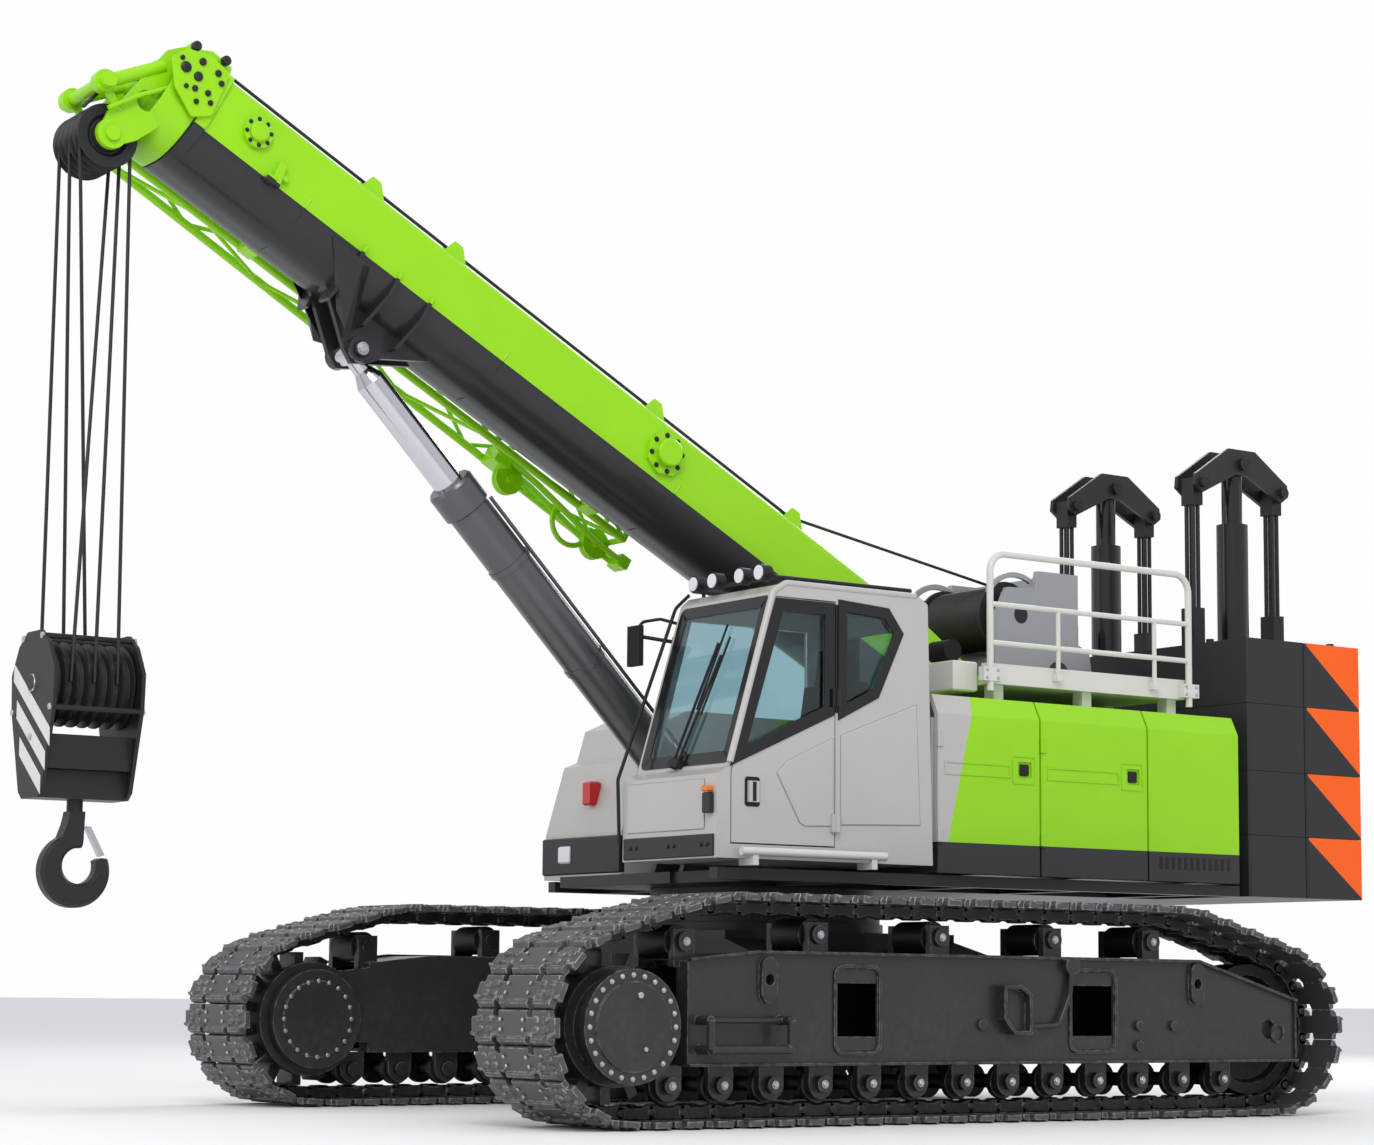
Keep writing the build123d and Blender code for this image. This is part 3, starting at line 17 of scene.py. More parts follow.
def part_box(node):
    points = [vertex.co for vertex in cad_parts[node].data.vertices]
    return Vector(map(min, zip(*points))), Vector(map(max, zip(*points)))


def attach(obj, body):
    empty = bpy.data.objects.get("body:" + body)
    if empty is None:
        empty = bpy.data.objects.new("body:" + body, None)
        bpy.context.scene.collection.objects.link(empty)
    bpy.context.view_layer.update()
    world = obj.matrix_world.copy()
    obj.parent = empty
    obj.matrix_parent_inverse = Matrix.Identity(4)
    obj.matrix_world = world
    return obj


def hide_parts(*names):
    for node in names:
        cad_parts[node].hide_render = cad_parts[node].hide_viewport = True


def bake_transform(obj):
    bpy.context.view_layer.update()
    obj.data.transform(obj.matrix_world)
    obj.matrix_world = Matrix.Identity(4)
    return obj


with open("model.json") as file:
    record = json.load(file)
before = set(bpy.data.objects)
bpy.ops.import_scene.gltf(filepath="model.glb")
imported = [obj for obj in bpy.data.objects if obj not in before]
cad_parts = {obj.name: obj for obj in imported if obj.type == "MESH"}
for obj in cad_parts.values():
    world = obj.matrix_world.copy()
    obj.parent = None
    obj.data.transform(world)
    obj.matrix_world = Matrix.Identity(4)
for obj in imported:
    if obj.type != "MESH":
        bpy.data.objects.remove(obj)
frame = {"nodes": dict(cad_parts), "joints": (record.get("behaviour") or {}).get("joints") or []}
nodes = frame["nodes"]
joints = {joint["name"]: joint for joint in frame["joints"]}
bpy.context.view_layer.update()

# %% [markdown]
# ## Places that everything else is worked out from
# The slewing axis, the boom's foot pin and the direction of the boom come from the joints of the model, so a
# detail on the boom is given the way a boom maker would give it: so far along, so far out, so far up.

# %% Axes of the machine
SLEW_Y = joints["slew"]["pos_m"][1]
FOOT = np.array(joints["boom_luff"]["pos_m"])
ALONG = np.array(joints["telescope_2"]["axis"])
ALONG = ALONG / np.linalg.norm(ALONG)
LEFT = np.array([1.0, 0.0, 0.0])
ABOVE = np.cross(LEFT, -ALONG)
ABOVE = ABOVE / np.linalg.norm(ABOVE)
print("boom rises", round(math.degrees(math.asin(ALONG[2])), 2), "degrees; up vector", ABOVE.round(3))

# %% [markdown]
# ## Surfaces from numpy
# A shape here is a pair: an array of points and a list of faces. Small functions make a lathe form, a
# plate, a tube along a path, and copies of a shape at many places at once.


# %% Shapes as arrays
LEAST_COSINE = 0.35      # keeps a sharp corner of an inset outline from running away
NEARLY_STRAIGHT = 1.55   # half angle of a corner, in radians, above which no arc is needed
ALMOST_ALONG = 0.98      # cosine above which a path counts as running along 'up'


def grid_faces(rows, cols, wrap_rows=False, wrap_cols=False):
    """Four-sided faces between neighbouring points of a grid: row r, column c is point r * cols + c."""
    r, c = np.meshgrid(np.arange(rows - (not wrap_rows)), np.arange(cols - (not wrap_cols)), indexing="ij")
    r_next, c_next = (r + 1) % rows, (c + 1) % cols
    corners = [r * cols + c, r * cols + c_next, r_next * cols + c_next, r_next * cols + c]
    return np.stack(corners, -1).reshape(-1, 4)


def skin(rows, cols, flipped=False):
    """Faces of a closed tube: its sides, and one face over each end. Flipped, they run the other way."""
    sides = grid_faces(rows, cols, wrap_cols=True)
    first, last = np.arange(cols), np.arange((rows - 1) * cols, rows * cols)
    if flipped:
        return sides[:, ::-1].tolist() + [first.tolist(), last[::-1].tolist()]
    return sides.tolist() + [first[::-1].tolist(), last.tolist()]


def together(shapes):
    """Several shapes as one: the points follow each other and the face numbers move up."""
    points, faces, count = [], [], 0
    for shape_points, shape_faces in shapes:
        points.append(shape_points)
        faces += [[corner + count for corner in face] for face in shape_faces]
        count += len(shape_points)
    return np.concatenate(points), faces


def whole(shape):
    """A list of shapes as one; a single shape as it is."""
    return together(shape) if isinstance(shape, list) else shape


def placed(shape, origin, x=(1, 0, 0), y=(0, 1, 0), z=(0, 0, 1)):
    """point = origin + x * its first + y * its second + z * its third coordinate."""
    points, faces = shape
    return points @ np.array([x, y, z], float) + np.array(origin, float), faces


def copies(shape, origins, frames):
    """The shape once for each origin (k, 3) and frame (k, 3, 3), all in one multiplication."""
    points, faces = shape
    count = len(points)
    many = np.einsum("pi,kij->kpj", points, frames) + np.asarray(origins)[:, None, :]
    every = [[corner + k * count for corner in face] for k in range(len(origins)) for face in faces]
    return many.reshape(-1, 3), every


def lathe(profile, sides=32):
    """Profile of (along X, radius) pairs turned about X; open ends with a radius are closed with a disc."""
    profile = np.array(profile, float)
    turn = np.linspace(0, 2 * np.pi, sides, endpoint=False)
    x = np.repeat(profile[:, 0][:, None], sides, 1)
    y = profile[:, 1][:, None] * np.cos(turn)
    z = profile[:, 1][:, None] * np.sin(turn)
    return np.stack([x, y, z], -1).reshape(-1, 3), skin(len(profile), sides, flipped=True)


def unit(rows):
    """Each row of an array as a vector of length 1."""
    return rows / np.linalg.norm(rows, axis=1)[:, None]


def twice_area(outline):
    """Twice the area inside a closed outline, positive where it runs anticlockwise."""
    following = np.roll(outline, -1, 0)
    return np.sum(outline[:, 0] * following[:, 1] - following[:, 0] * outline[:, 1])


def inset(outline, by):
    """Each corner of a closed outline moves in along the bisector of its two edges."""
    outline = np.array(outline, float)
    before, after = unit(outline - np.roll(outline, 1, 0)), unit(np.roll(outline, -1, 0) - outline)
    across = np.stack([-(before + after)[:, 1], (before + after)[:, 0]], -1)
    normal = unit(across * np.sign(twice_area(outline)))
    cosine = np.abs(normal[:, 0] * -before[:, 1] + normal[:, 1] * before[:, 0])
    return outline + normal * (by / np.maximum(cosine, LEAST_COSINE))[:, None]


def plate(outline, low, high, bevel=0.0015):
    """Outline of (x, y) pairs raised from low to high along z, with its edges taken off by bevel."""
    outline = np.array(outline, float)
    if twice_area(outline) < 0:
        outline = outline[::-1]
    small = inset(outline, bevel)
    rings = [(small, low), (outline, low + bevel), (outline, high - bevel), (small, high)]
    points = np.concatenate([np.column_stack([ring, np.full(len(ring), z)]) for ring, z in rings])
    return points, skin(4, len(outline))


def brick(low, high, bevel=0.003):
    """Box between two corners with bevelled edges."""
    (x0, y0, z0), (x1, y1, z1) = low, high
    return plate([(x0, y0), (x1, y0), (x1, y1), (x0, y1)], z0, z1, bevel)


def corner_arc(last, corner, following, radius, steps):
    """Arc that touches both edges of a corner, about a centre on the bisector:
    (sin((1 - t) * sweep) * start + sin(t * sweep) * end) / sin(sweep). A corner that hardly bends stays."""
    a, b = last - corner, following - corner
    a, b = a / np.linalg.norm(a), b / np.linalg.norm(b)
    half = math.acos(np.clip(a @ b, -1, 1)) / 2
    if half > NEARLY_STRAIGHT:
        return corner[None]
    reach = radius / math.tan(half)
    centre = corner + (a + b) / np.linalg.norm(a + b) * radius / math.sin(half)
    start, end = corner + a * reach - centre, corner + b * reach - centre
    t, sweep = np.linspace(0, 1, steps)[:, None], math.pi - 2 * half
    return centre + (np.sin((1 - t) * sweep) * start + np.sin(t * sweep) * end) / math.sin(sweep)


def rounded(corners, radius, steps=6):
    """Closed outline with every corner rounded."""
    corners = np.array(corners, float)
    around = zip(np.roll(corners, 1, 0), corners, np.roll(corners, -1, 0))
    return np.concatenate([corner_arc(*three, radius, steps) for three in around])


def bent(corners, radius, steps=7):
    """Open path with its inner corners rounded."""
    corners = np.array(corners, float)
    arcs = [corner_arc(*three, radius, steps) for three in zip(corners, corners[1:], corners[2:])]
    return np.concatenate([corners[:1], *arcs, corners[-1:]])


def circle(radius, count=24, centre=(0, 0)):
    """Closed outline: centre + radius * (cos t, sin t)."""
    turn = np.linspace(0, 2 * np.pi, count, endpoint=False)
    return np.column_stack([centre[0] + radius * np.cos(turn), centre[1] + radius * np.sin(turn)])


def path_frames(path, up):
    """Two vectors across a path at each point: side = ahead x up, top = side x ahead. Where the path runs
    along 'up', the axis furthest from the path takes its place."""
    ahead = unit(np.gradient(path, axis=0))
    if np.abs(ahead @ np.array(up, float)).max() > ALMOST_ALONG:
        up = min(np.eye(3), key=lambda axis: np.abs(ahead @ axis).max())
    side = unit(np.cross(ahead, np.broadcast_to(up, path.shape)))
    return side, np.cross(side, ahead)


def pipe(path, radius, sides=12, up=(0, 0, 1)):
    """Round bar along a path: centre + radius * (cos t * side + sin t * top)."""
    path = np.array(path, float)
    side, top = path_frames(path, up)
    turn = np.linspace(0, 2 * np.pi, sides, endpoint=False)
    ring = np.cos(turn)[None, :, None] * side[:, None] + np.sin(turn)[None, :, None] * top[:, None]
    return (path[:, None] + radius * ring).reshape(-1, 3), skin(len(path), sides, flipped=True)


def axis_frame(axis):
    """Three square axes with the third along 'axis'."""
    axis = np.array(axis, float) / np.linalg.norm(axis)
    helper = np.array([0.0, 0.0, 1.0]) if abs(axis[2]) < 0.9 else np.array([0.0, 1.0, 0.0])
    x = np.cross(helper, axis)
    x /= np.linalg.norm(x)
    return np.array([x, np.cross(axis, x), axis])


def bolt_head(radius, height):
    """Six-sided head with a turned-off top, standing on a washer."""
    washer = plate(circle(radius * 1.35, 14), -0.002, height * 0.25, height * 0.06)
    head = plate(circle(radius, 6), height * 0.2, height, height * 0.18)
    return together([washer, head])


def bolts(centres, axis, radius=0.016, height=0.014):
    """Bolt heads at many centres, all standing along one axis."""
    centres = np.array(centres, float)
    return copies(bolt_head(radius, height), centres, np.broadcast_to(axis_frame(axis), (len(centres), 3, 3)))


def on_boom(x, y, z):
    """Boom coordinates (along, to the left, up) to the machine's."""
    x, y, z = np.broadcast_arrays(np.asarray(x, float), y, z)
    return FOOT + x[..., None] * ALONG + y[..., None] * LEFT + z[..., None] * ABOVE


def boom_placed(shape):
    """A shape given in boom coordinates."""
    return placed(shape, FOOT, ALONG, LEFT, ABOVE)


def add_piece(name, shape, material, body="upper_machine", smooth=35):
    """Put a shape, or a list of them, into the scene with one material, riding on a body if one is given.
    Edges sharper than 'smooth' degrees stay sharp."""
    points, faces = whole(shape)
    mesh = bpy.data.meshes.new(name)
    mesh.from_pydata(np.asarray(points).tolist(), [], faces)
    mesh.validate()
    work = bmesh.new()
    work.from_mesh(mesh)
    bmesh.ops.recalc_face_normals(work, faces=work.faces)
    work.to_mesh(mesh)
    work.free()
    if smooth:
        mesh.polygons.foreach_set("use_smooth", np.ones(len(mesh.polygons), bool))
        mesh.set_sharp_from_angle(angle=math.radians(smooth))
    mesh.materials.append(material)
    piece = bpy.data.objects.new(name, mesh)
    bpy.context.scene.collection.objects.link(piece)
    if body:
        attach(piece, body)
    return piece


# %% [markdown]
# ## Finishes
# A crane is mostly thick gloss paint over welded plate, with cast steel and rubber below. Three effects
# repeat on all of them: edges that catch the light because no real edge is perfectly sharp, uneven gloss,
# and dust that settles low down. One node group holds the three, and every material sets its own values.


# %% Helpers for node groups
def colour(red, green, blue):
    """Screen colour 0-255 to the linear values that Blender's sockets hold."""
    values = np.array([red, green, blue]) / 255
    linear = np.where(values <= 0.04045, values / 12.92, ((values + 0.055) / 1.055) ** 2.4)
    return (*linear.tolist(), 1.0)


def new_group(name, inputs, outputs):
    """Node group with named sockets. inputs and outputs are (name, kind, default) and (name, kind)."""
    group = bpy.data.node_groups.new(name, "ShaderNodeTree")
    for socket_name, kind, default in inputs:
        socket = group.interface.new_socket(name=socket_name, in_out="INPUT", socket_type="NodeSocket" + kind)
        socket.default_value = default
    for socket_name, kind in outputs:
        group.interface.new_socket(name=socket_name, in_out="OUTPUT", socket_type="NodeSocket" + kind)
    return group, group.nodes.new("NodeGroupInput"), group.nodes.new("NodeGroupOutput")


def feed(tree, socket, source):
    """Give an input socket a link or a value."""
    if isinstance(source, bpy.types.NodeSocket):
        tree.links.new(source, socket)
    else:
        socket.default_value = source


def add_node(tree, kind, inputs=(), **settings):
    """Node with settings; inputs are (input name or number, socket or value)."""
    node = tree.nodes.new("ShaderNode" + kind)
    for key, value in settings.items():
        setattr(node, key, value)
    for name, source in inputs:
        feed(tree, node.inputs[name], source)
    return node


def maths(tree, operation, *values, clamp=False):
    """One sum on sockets and numbers."""
    return add_node(tree, "Math", list(enumerate(values)), operation=operation, use_clamp=clamp).outputs[0]


def product(tree, *values):
    """Everything multiplied together, which for masks means that all of them hold."""
    total = values[0]
    for value in values[1:]:
        total = maths(tree, "MULTIPLY", total, value)
    return total


def over(tree, value, level):
    """1 where the value is greater than the level."""
    return maths(tree, "GREATER_THAN", value, level)


def mixed(tree, share, a, b):
    """Colour a where share is 0, colour b where it is 1."""
    return add_node(tree, "Mix", [(0, share), (6, a), (7, b)], data_type="RGBA").outputs[2]


def ramp(tree, value, low, high):
    """0 below low, 1 above high, straight between."""
    return add_node(tree, "MapRange", [(0, value), (1, low), (2, high)], clamp=True).outputs[0]


# %% [markdown]
# ### Soft edges and uneven gloss
# The Bevel node bends the normal near every edge, so a sharp plate shows the thin highlight that a real one
# does. Noise moves the tone and the roughness a little, and a fine bump gives paint its orange peel.


# %% Node group: surface of painted or cast metal
BROAD_SCALE, FINE_SCALE = 2.3, 24.0                     # noise cells in a metre
PATCHES, WORN_SPOTS = (0.14, 0.42), (0.4, 0.6)          # range of the noise that fades dust and wear in
EDGE_TURN = (0.02, 0.16)                                # how far the bevelled normal turns at a worn edge


def make_surface_group():
    """Colour, roughness and normal of a worn surface: dust low down, bare metal on edges, fine grain."""
    group, inp, out = new_group(
        "metal_surface",
        [("Colour", "Color", (0.5, 0.5, 0.5, 1)), ("Roughness", "Float", 0.35), ("Unevenness", "Float", 0.08),
         ("Dust Colour", "Color", colour(120, 112, 100)), ("Dust", "Float", 0.1),
         ("Dust Height", "Float", 1.0), ("Grain Scale", "Float", 300.0), ("Grain", "Float", 0.02),
         ("Edge", "Float", 0.004), ("Edge Wear", "Float", 0.0),
         ("Wear Colour", "Color", colour(150, 150, 150))],
        [("Colour", "Color"), ("Roughness", "Float"), ("Normal", "Vector")])
    given = inp.outputs
    where = add_node(group, "TexCoord").outputs["Object"]

    def noise(scale, detail):
        """Soft noise in object coordinates."""
        inputs = [("Vector", where), ("Scale", scale), ("Detail", detail)]
        return add_node(group, "TexNoise", inputs).outputs["Fac"]

    broad, fine, grain = noise(BROAD_SCALE, 5.0), noise(FINE_SCALE, 6.0), noise(given["Grain Scale"], 2.0)
    height = add_node(group, "SeparateXYZ", [(0, where)]).outputs[2]
    share = ramp(group, maths(group, "DIVIDE", height, given["Dust Height"]), 0.0, 1.0)
    low = maths(group, "SUBTRACT", 1.0, share)
    patchy = ramp(group, product(group, broad, fine), *PATCHES)
    dust = maths(group, "MULTIPLY", product(group, low, patchy), given["Dust"], clamp=True)
    soft = add_node(group, "Bevel", [("Radius", given["Edge"])], samples=4).outputs[0]
    flat = add_node(group, "NewGeometry").outputs["Normal"]
    turn = add_node(group, "VectorMath", [(0, soft), (1, flat)], operation="DOT_PRODUCT").outputs["Value"]
    edge = ramp(group, maths(group, "SUBTRACT", 1.0, turn), *EDGE_TURN)
    worn = product(group, edge, ramp(group, fine, *WORN_SPOTS), given["Edge Wear"])
    shade = maths(group, "ADD", 0.94, product(group, broad, 0.12))
    toned = add_node(group, "VectorMath", [(0, given["Colour"]), (1, shade)], operation="MULTIPLY").outputs[0]
    base = mixed(group, worn, toned, given["Wear Colour"])
    feed(group, out.inputs["Colour"], mixed(group, dust, base, given["Dust Colour"]))
    swing = product(group, maths(group, "SUBTRACT", fine, 0.5), given["Unevenness"])
    rough = maths(group, "ADD", maths(group, "ADD", given["Roughness"], swing), product(group, dust, 0.35))
    feed(group, out.inputs["Roughness"], maths(group, "MINIMUM", rough, 0.95))
    bump = [("Strength", given["Grain"]), ("Distance", 0.001), ("Height", grain), ("Normal", soft)]
    feed(group, out.inputs["Normal"], add_node(group, "Bump", bump).outputs[0])
    return group


SURFACE = make_surface_group()


# %% Materials of one finish each
def finish(name, base, roughness=0.35, metallic=0.0, coat=0.0, paint_mask=None, **values):
    """Principled material fed by the surface group. paint_mask(tree, base) may give a two-tone colour."""
    material = bpy.data.materials.new(name)
    material.use_nodes = True
    tree = material.node_tree
    shader = tree.nodes["Principled BSDF"]
    surface = tree.nodes.new("ShaderNodeGroup")
    surface.node_tree = SURFACE
    feed(tree, surface.inputs["Roughness"], roughness)
    feed(tree, surface.inputs["Colour"], paint_mask(tree, base) if paint_mask else base)
    for socket, value in values.items():
        feed(tree, surface.inputs[socket.replace("_", " ")], value)
    settings = {"Metallic": metallic, "Specular IOR Level": 0.5 if metallic else 0.3, "Coat Weight": coat,
                "Coat Roughness": 0.08, "Roughness": surface.outputs["Roughness"],
                "Normal": surface.outputs["Normal"], "Base Color": surface.outputs["Colour"]}
    for socket, source in settings.items():
        feed(tree, shader.inputs[socket], source)
    return material


def object_axis(tree, direction, origin=(0, 0, 0)):
    """Distance of the shaded point from origin along a direction, in object coordinates."""
    where = add_node(tree, "TexCoord").outputs["Object"]
    moved = add_node(tree, "VectorMath", [(0, where), (1, tuple(origin))], operation="SUBTRACT").outputs[0]
    return add_node(tree, "VectorMath", [(0, moved), (1, tuple(direction))],
                    operation="DOT_PRODUCT").outputs["Value"]


LIME_RGB, CHARCOAL_RGB = colour(150, 216, 10), colour(43, 43, 47)
CAB_GREY_RGB, OFF_WHITE_RGB = colour(188, 184, 180), colour(214, 212, 205)
ORANGE_RGB = colour(255, 98, 0)

lime = finish("lime_paint", LIME_RGB, 0.3, coat=0.2, Dust=0.05)
charcoal = finish("charcoal_paint", CHARCOAL_RGB, 0.42, coat=0.1, Dust=0.12, Dust_Height=1.4)
cab_grey = finish("cab_grey_paint", CAB_GREY_RGB, 0.34, coat=0.3, Dust=0.05)
off_white = finish("off_white_paint", OFF_WHITE_RGB, 0.36, coat=0.2, Dust=0.05)
dark_steel = finish("dark_steel", colour(38, 38, 41), 0.45, 0.35, Dust=0.15, Edge_Wear=0.25, Grain=0.05)
black_gloss = finish("black_gloss_paint", colour(24, 24, 27), 0.22, coat=0.4, Dust=0.02)
track_steel = finish("track_steel", colour(88, 88, 91), 0.45, 0.6, Dust=0.25, Dust_Height=1.6, Grain=0.25,
                     Grain_Scale=120.0, Edge=0.012, Edge_Wear=1.0, Wear_Colour=colour(205, 205, 208))
chain_steel = finish("chain_steel", colour(38, 37, 38), 0.5, 0.4, Dust=0.25, Grain=0.25, Edge=0.01,
                     Edge_Wear=0.9)
frame_charcoal = finish("frame_charcoal_paint", CHARCOAL_RGB, 0.38, coat=0.25, Dust=0.15, Dust_Height=1.2,
                        Edge=0.01, Edge_Wear=0.9, Wear_Colour=colour(150, 150, 154))
bright_steel = finish("bright_steel", colour(190, 190, 192), 0.28, 0.9, Grain=0.03)
bare_steel = finish("bare_grey_steel", colour(168, 170, 172), 0.38, 0.6, Grain=0.05)
barrel_steel = finish("barrel_grey_metallic", colour(96, 97, 100), 0.33, 0.7, coat=0.2)
chrome = finish("chrome_rod", colour(205, 206, 210), 0.12, 1.0, Grain=0.0, Unevenness=0.05)
rope_steel = finish("rope_steel", colour(52, 51, 50), 0.5, 0.6, Grain=0.2, Grain_Scale=900.0)
rubber = finish("black_rubber", colour(22, 22, 23), 0.75, Grain=0.12, Grain_Scale=700.0)
plastic = finish("black_plastic", colour(30, 30, 32), 0.55, Grain=0.15, Grain_Scale=900.0)
fabric = finish("seat_fabric", colour(28, 28, 32), 0.9, Grain=0.5, Grain_Scale=1400.0)
red_lens = finish("red_lens", colour(205, 22, 20), 0.15, coat=0.6)
amber_lens = finish("amber_lens", colour(240, 120, 20), 0.15, coat=0.6)
white_lens = finish("white_lens", colour(226, 228, 230), 0.12, coat=0.6)
black_trim = finish("black_window_border", colour(20, 20, 22), 0.25, coat=0.3, Grain=0.0)


# %% Two-tone materials
def two_tone(direction, origin, level, below):
    """Paint mask: the colour 'below' where the point is lower than level along the direction."""
    def mask(tree, base):
        """One step between two colours."""
        return mixed(tree, over(tree, object_axis(tree, direction, origin), level), below, base)
    return mask


BOOM_SPLIT = 0.16
boom_paint = finish("boom_lime_and_charcoal", LIME_RGB, 0.3, coat=0.2, Dust=0.0,
                    paint_mask=two_tone(ABOVE, FOOT, BOOM_SPLIT, CHARCOAL_RGB))
HOUSE_SPLIT = 1.67
GREY_FRONT = ((SLEW_Y + 0.31, 1.67), (SLEW_Y + 0.53, 2.58))   # (y, z) of the slanted line's two ends
PILLAR_X, PILLAR_Y, PILLAR_Z = 1.46, (-0.66, -0.49), (2.41, 3.065)


def house_mask(tree, base):
    """Light grey front corner before a slanted line, lime behind it, charcoal skirt below."""
    (y0, z0), (y1, z1) = GREY_FRONT
    length = math.hypot(y1 - y0, z1 - z0)
    across = (0, (z1 - z0) / length, -(y1 - y0) / length)
    behind = over(tree, object_axis(tree, across, (0, y0, z0)), 0.0)
    upper = mixed(tree, behind, CAB_GREY_RGB, base)
    return mixed(tree, over(tree, object_axis(tree, (0, 0, 1)), HOUSE_SPLIT), CHARCOAL_RGB, upper)


def pillar_mask(tree, base):
    """Black pillar between the door's pane and the pane behind it, on the outer side above the waist line."""
    (y0, y1), (z0, z1) = PILLAR_Y, PILLAR_Z
    along, high = object_axis(tree, (0, 1, 0), (0, SLEW_Y, 0)), object_axis(tree, (0, 0, 1))
    share = product(tree, over(tree, along, y0), maths(tree, "LESS_THAN", along, y1), over(tree, high, z0),
                    maths(tree, "LESS_THAN", high, z1), over(tree, object_axis(tree, (1, 0, 0)), PILLAR_X))
    return mixed(tree, share, base, colour(20, 20, 22))


cab_paint = finish("cab_grey_with_black_pillar", CAB_GREY_RGB, 0.34, coat=0.3, Dust=0.0,
                   paint_mask=pillar_mask)
house_paint = finish("house_paint", LIME_RGB, 0.3, coat=0.2, Dust=0.0, paint_mask=house_mask)


def weight_paint(number, z0, z1, y0, y1):
    """Charcoal block with an orange triangle in the upper rear corner of each side."""
    def mask(tree, base):
        """Orange where three conditions hold: above the diagonal, on the rear half, on a side face."""
        share_y = maths(tree, "DIVIDE", object_axis(tree, (0, 1, 0), (0, y0, 0)), y1 - y0)
        share_z = maths(tree, "DIVIDE", object_axis(tree, (0, 0, 1), (0, 0, z0)), z1 - z0)
        facing = add_node(tree, "SeparateXYZ", [(0, add_node(tree, "TexCoord").outputs["Normal"])]).outputs[0]
        orange = product(tree, over(tree, maths(tree, "ADD", share_y, share_z), 1.0),
                         over(tree, share_y, 0.0), over(tree, maths(tree, "ABSOLUTE", facing), 0.9))
        return mixed(tree, orange, base, ORANGE_RGB)
    return finish(f"counterweight_{number}", CHARCOAL_RGB, 0.45, coat=0.05, Dust=0.0, Grain=0.06,
                  Grain_Scale=160.0, paint_mask=mask)


# %% [markdown]
# ### Glass
# Cab glass is tinted and thin. The panes are solid slabs in the model, so the shader is a plain
# transmitting one with a dark tint, and the seat shows through it.


# %% Glass material
def glass(name, tint, roughness=0.02):
    """Principled material that lets all light through, tinted."""
    material = bpy.data.materials.new(name)
    material.use_nodes = True
    shader = material.node_tree.nodes["Principled BSDF"]
    values = {"Base Color": tint, "Roughness": roughness, "Transmission Weight": 1.0, "IOR": 1.45}
    for socket, value in values.items():
        shader.inputs[socket].default_value = value
    return material


cab_glass = glass("cab_glass", colour(196, 222, 226))


def dress(material, *names):
    """Give CAD pieces a material."""
    for name in names:
        mesh = nodes[name].data
        mesh.materials.clear()
        mesh.materials.append(material)


SIDES = ("left", "right")
dress(boom_paint, "boom_base")
dress(lime, "boom_section_2", "boom_section_3", "boom_section_4", "fly_jib")
dress(bare_steel, "winch_frame")
dress(cab_paint, "cab_shell", "cab_door")
dress(cab_grey, "front_housing")
dress(cab_glass, "cab_glass", "door_glass")
dress(fabric, "cab_seat")
dress(plastic, "cab_consoles", "cab_mirror")
dress(off_white, "walkway", "handrail", "cab_step_rail")
dress(charcoal, "carbody", "deck_frame", "slew_ring_upper", "counterweight_crossbeams")
dress(dark_steel, "slew_ring_lower", "boom_and_cylinder_pins", "winch_drum", "head_sheaves",
      "hook_block_sheaves", "hook_block", "hook", "engine", "counterweight_hangers", "roof_lamp_rack")
dress(black_gloss, "counterweight_cylinders")
dress(barrel_steel, "luff_cylinder_barrel")
dress(chrome, "luff_cylinder_rod")
dress(rope_steel, "hoist_rope_falls")
dress(bright_steel, "hook_latch")
for side in SIDES:
    dress(track_steel, f"{side}_track")
    dress(frame_charcoal, f"{side}_track_frame", f"{side}_drive_wheel")
    dress(chain_steel, f"{side}_idler", f"{side}_rollers")
    dress(house_paint, f"{side}_house_frame", f"{side}_front_door", f"{side}_middle_door")
for number in (1, 2, 3, 4):
    name = f"counterweight_row_{number}"
    low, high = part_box(name)
    middle = (low[1] + high[1]) / 2
    dress(weight_paint(number, low[2], high[2], middle, high[1]), name)
print("dressed", len(nodes), "pieces of the model")

# %% [markdown]
# ## Placing shapes on the machine
# The upper machine and the undercarriage are drawn about the slewing axis. A plate given as (y, z) and a
# reach along X is how the side of a machine is drawn, so most details below use that.


# %% Helpers for the sides of the machine
SIDE_VIEW = ((0, SLEW_Y, 0), (0, 1, 0), (0, 0, 1), (1, 0, 0))   # its place, and where its x, y and z point


def oblong(x0, y0, x1, y1):
    """Four corners of a rectangle, anticlockwise."""
    return [(x0, y0), (x1, y0), (x1, y1), (x0, y1)]


def side_plate(outline, x0, x1, bevel=0.003):
    """Outline given as (y from the slewing axis, z), raised from x0 to x1."""
    return placed(plate(outline, x0, x1, bevel), *SIDE_VIEW)


def side_spots(x, pairs):
    """Places at one x, from pairs (y from the slewing axis, z)."""
    return [(x, SLEW_Y + y, z) for y, z in pairs]


def band(outline, width, low, high):
    """Flat frame of one width inside an outline: four rings of points joined into a closed loop."""
    outer, inner = np.array(outline, float), inset(outline, width)
    rings = [(outer, low), (outer, high), (inner, high), (inner, low)]
    points = np.concatenate([np.column_stack([ring, np.full(len(ring), z)]) for ring, z in rings])
    return points, grid_faces(4, len(outer), wrap_rows=True, wrap_cols=True).tolist()


def side_band(outline, width, x0, x1):
    """Flat frame drawn as (y from the slewing axis, z), between x0 and x1."""
    return placed(band(outline, width, x0, x1), *SIDE_VIEW)


def mirrored(shape):
    """The shape on the machine's other side: x changes sign, and each face runs the other way."""
    points, faces = shape
    return points * np.array([-1.0, 1.0, 1.0]), [face[::-1] for face in faces]


def both(shape):
    """A shape, or a list of them, on both sides of the machine."""
    shape = whole(shape)
    return together([shape, mirrored(shape)])


def turned(profile, place, axis=(1, 0, 0), sides=32):
    """Lathe form on an axle at a place."""
    helper = axis_frame(axis)
    return placed(lathe(profile, sides), place, helper[2], helper[0], helper[1])


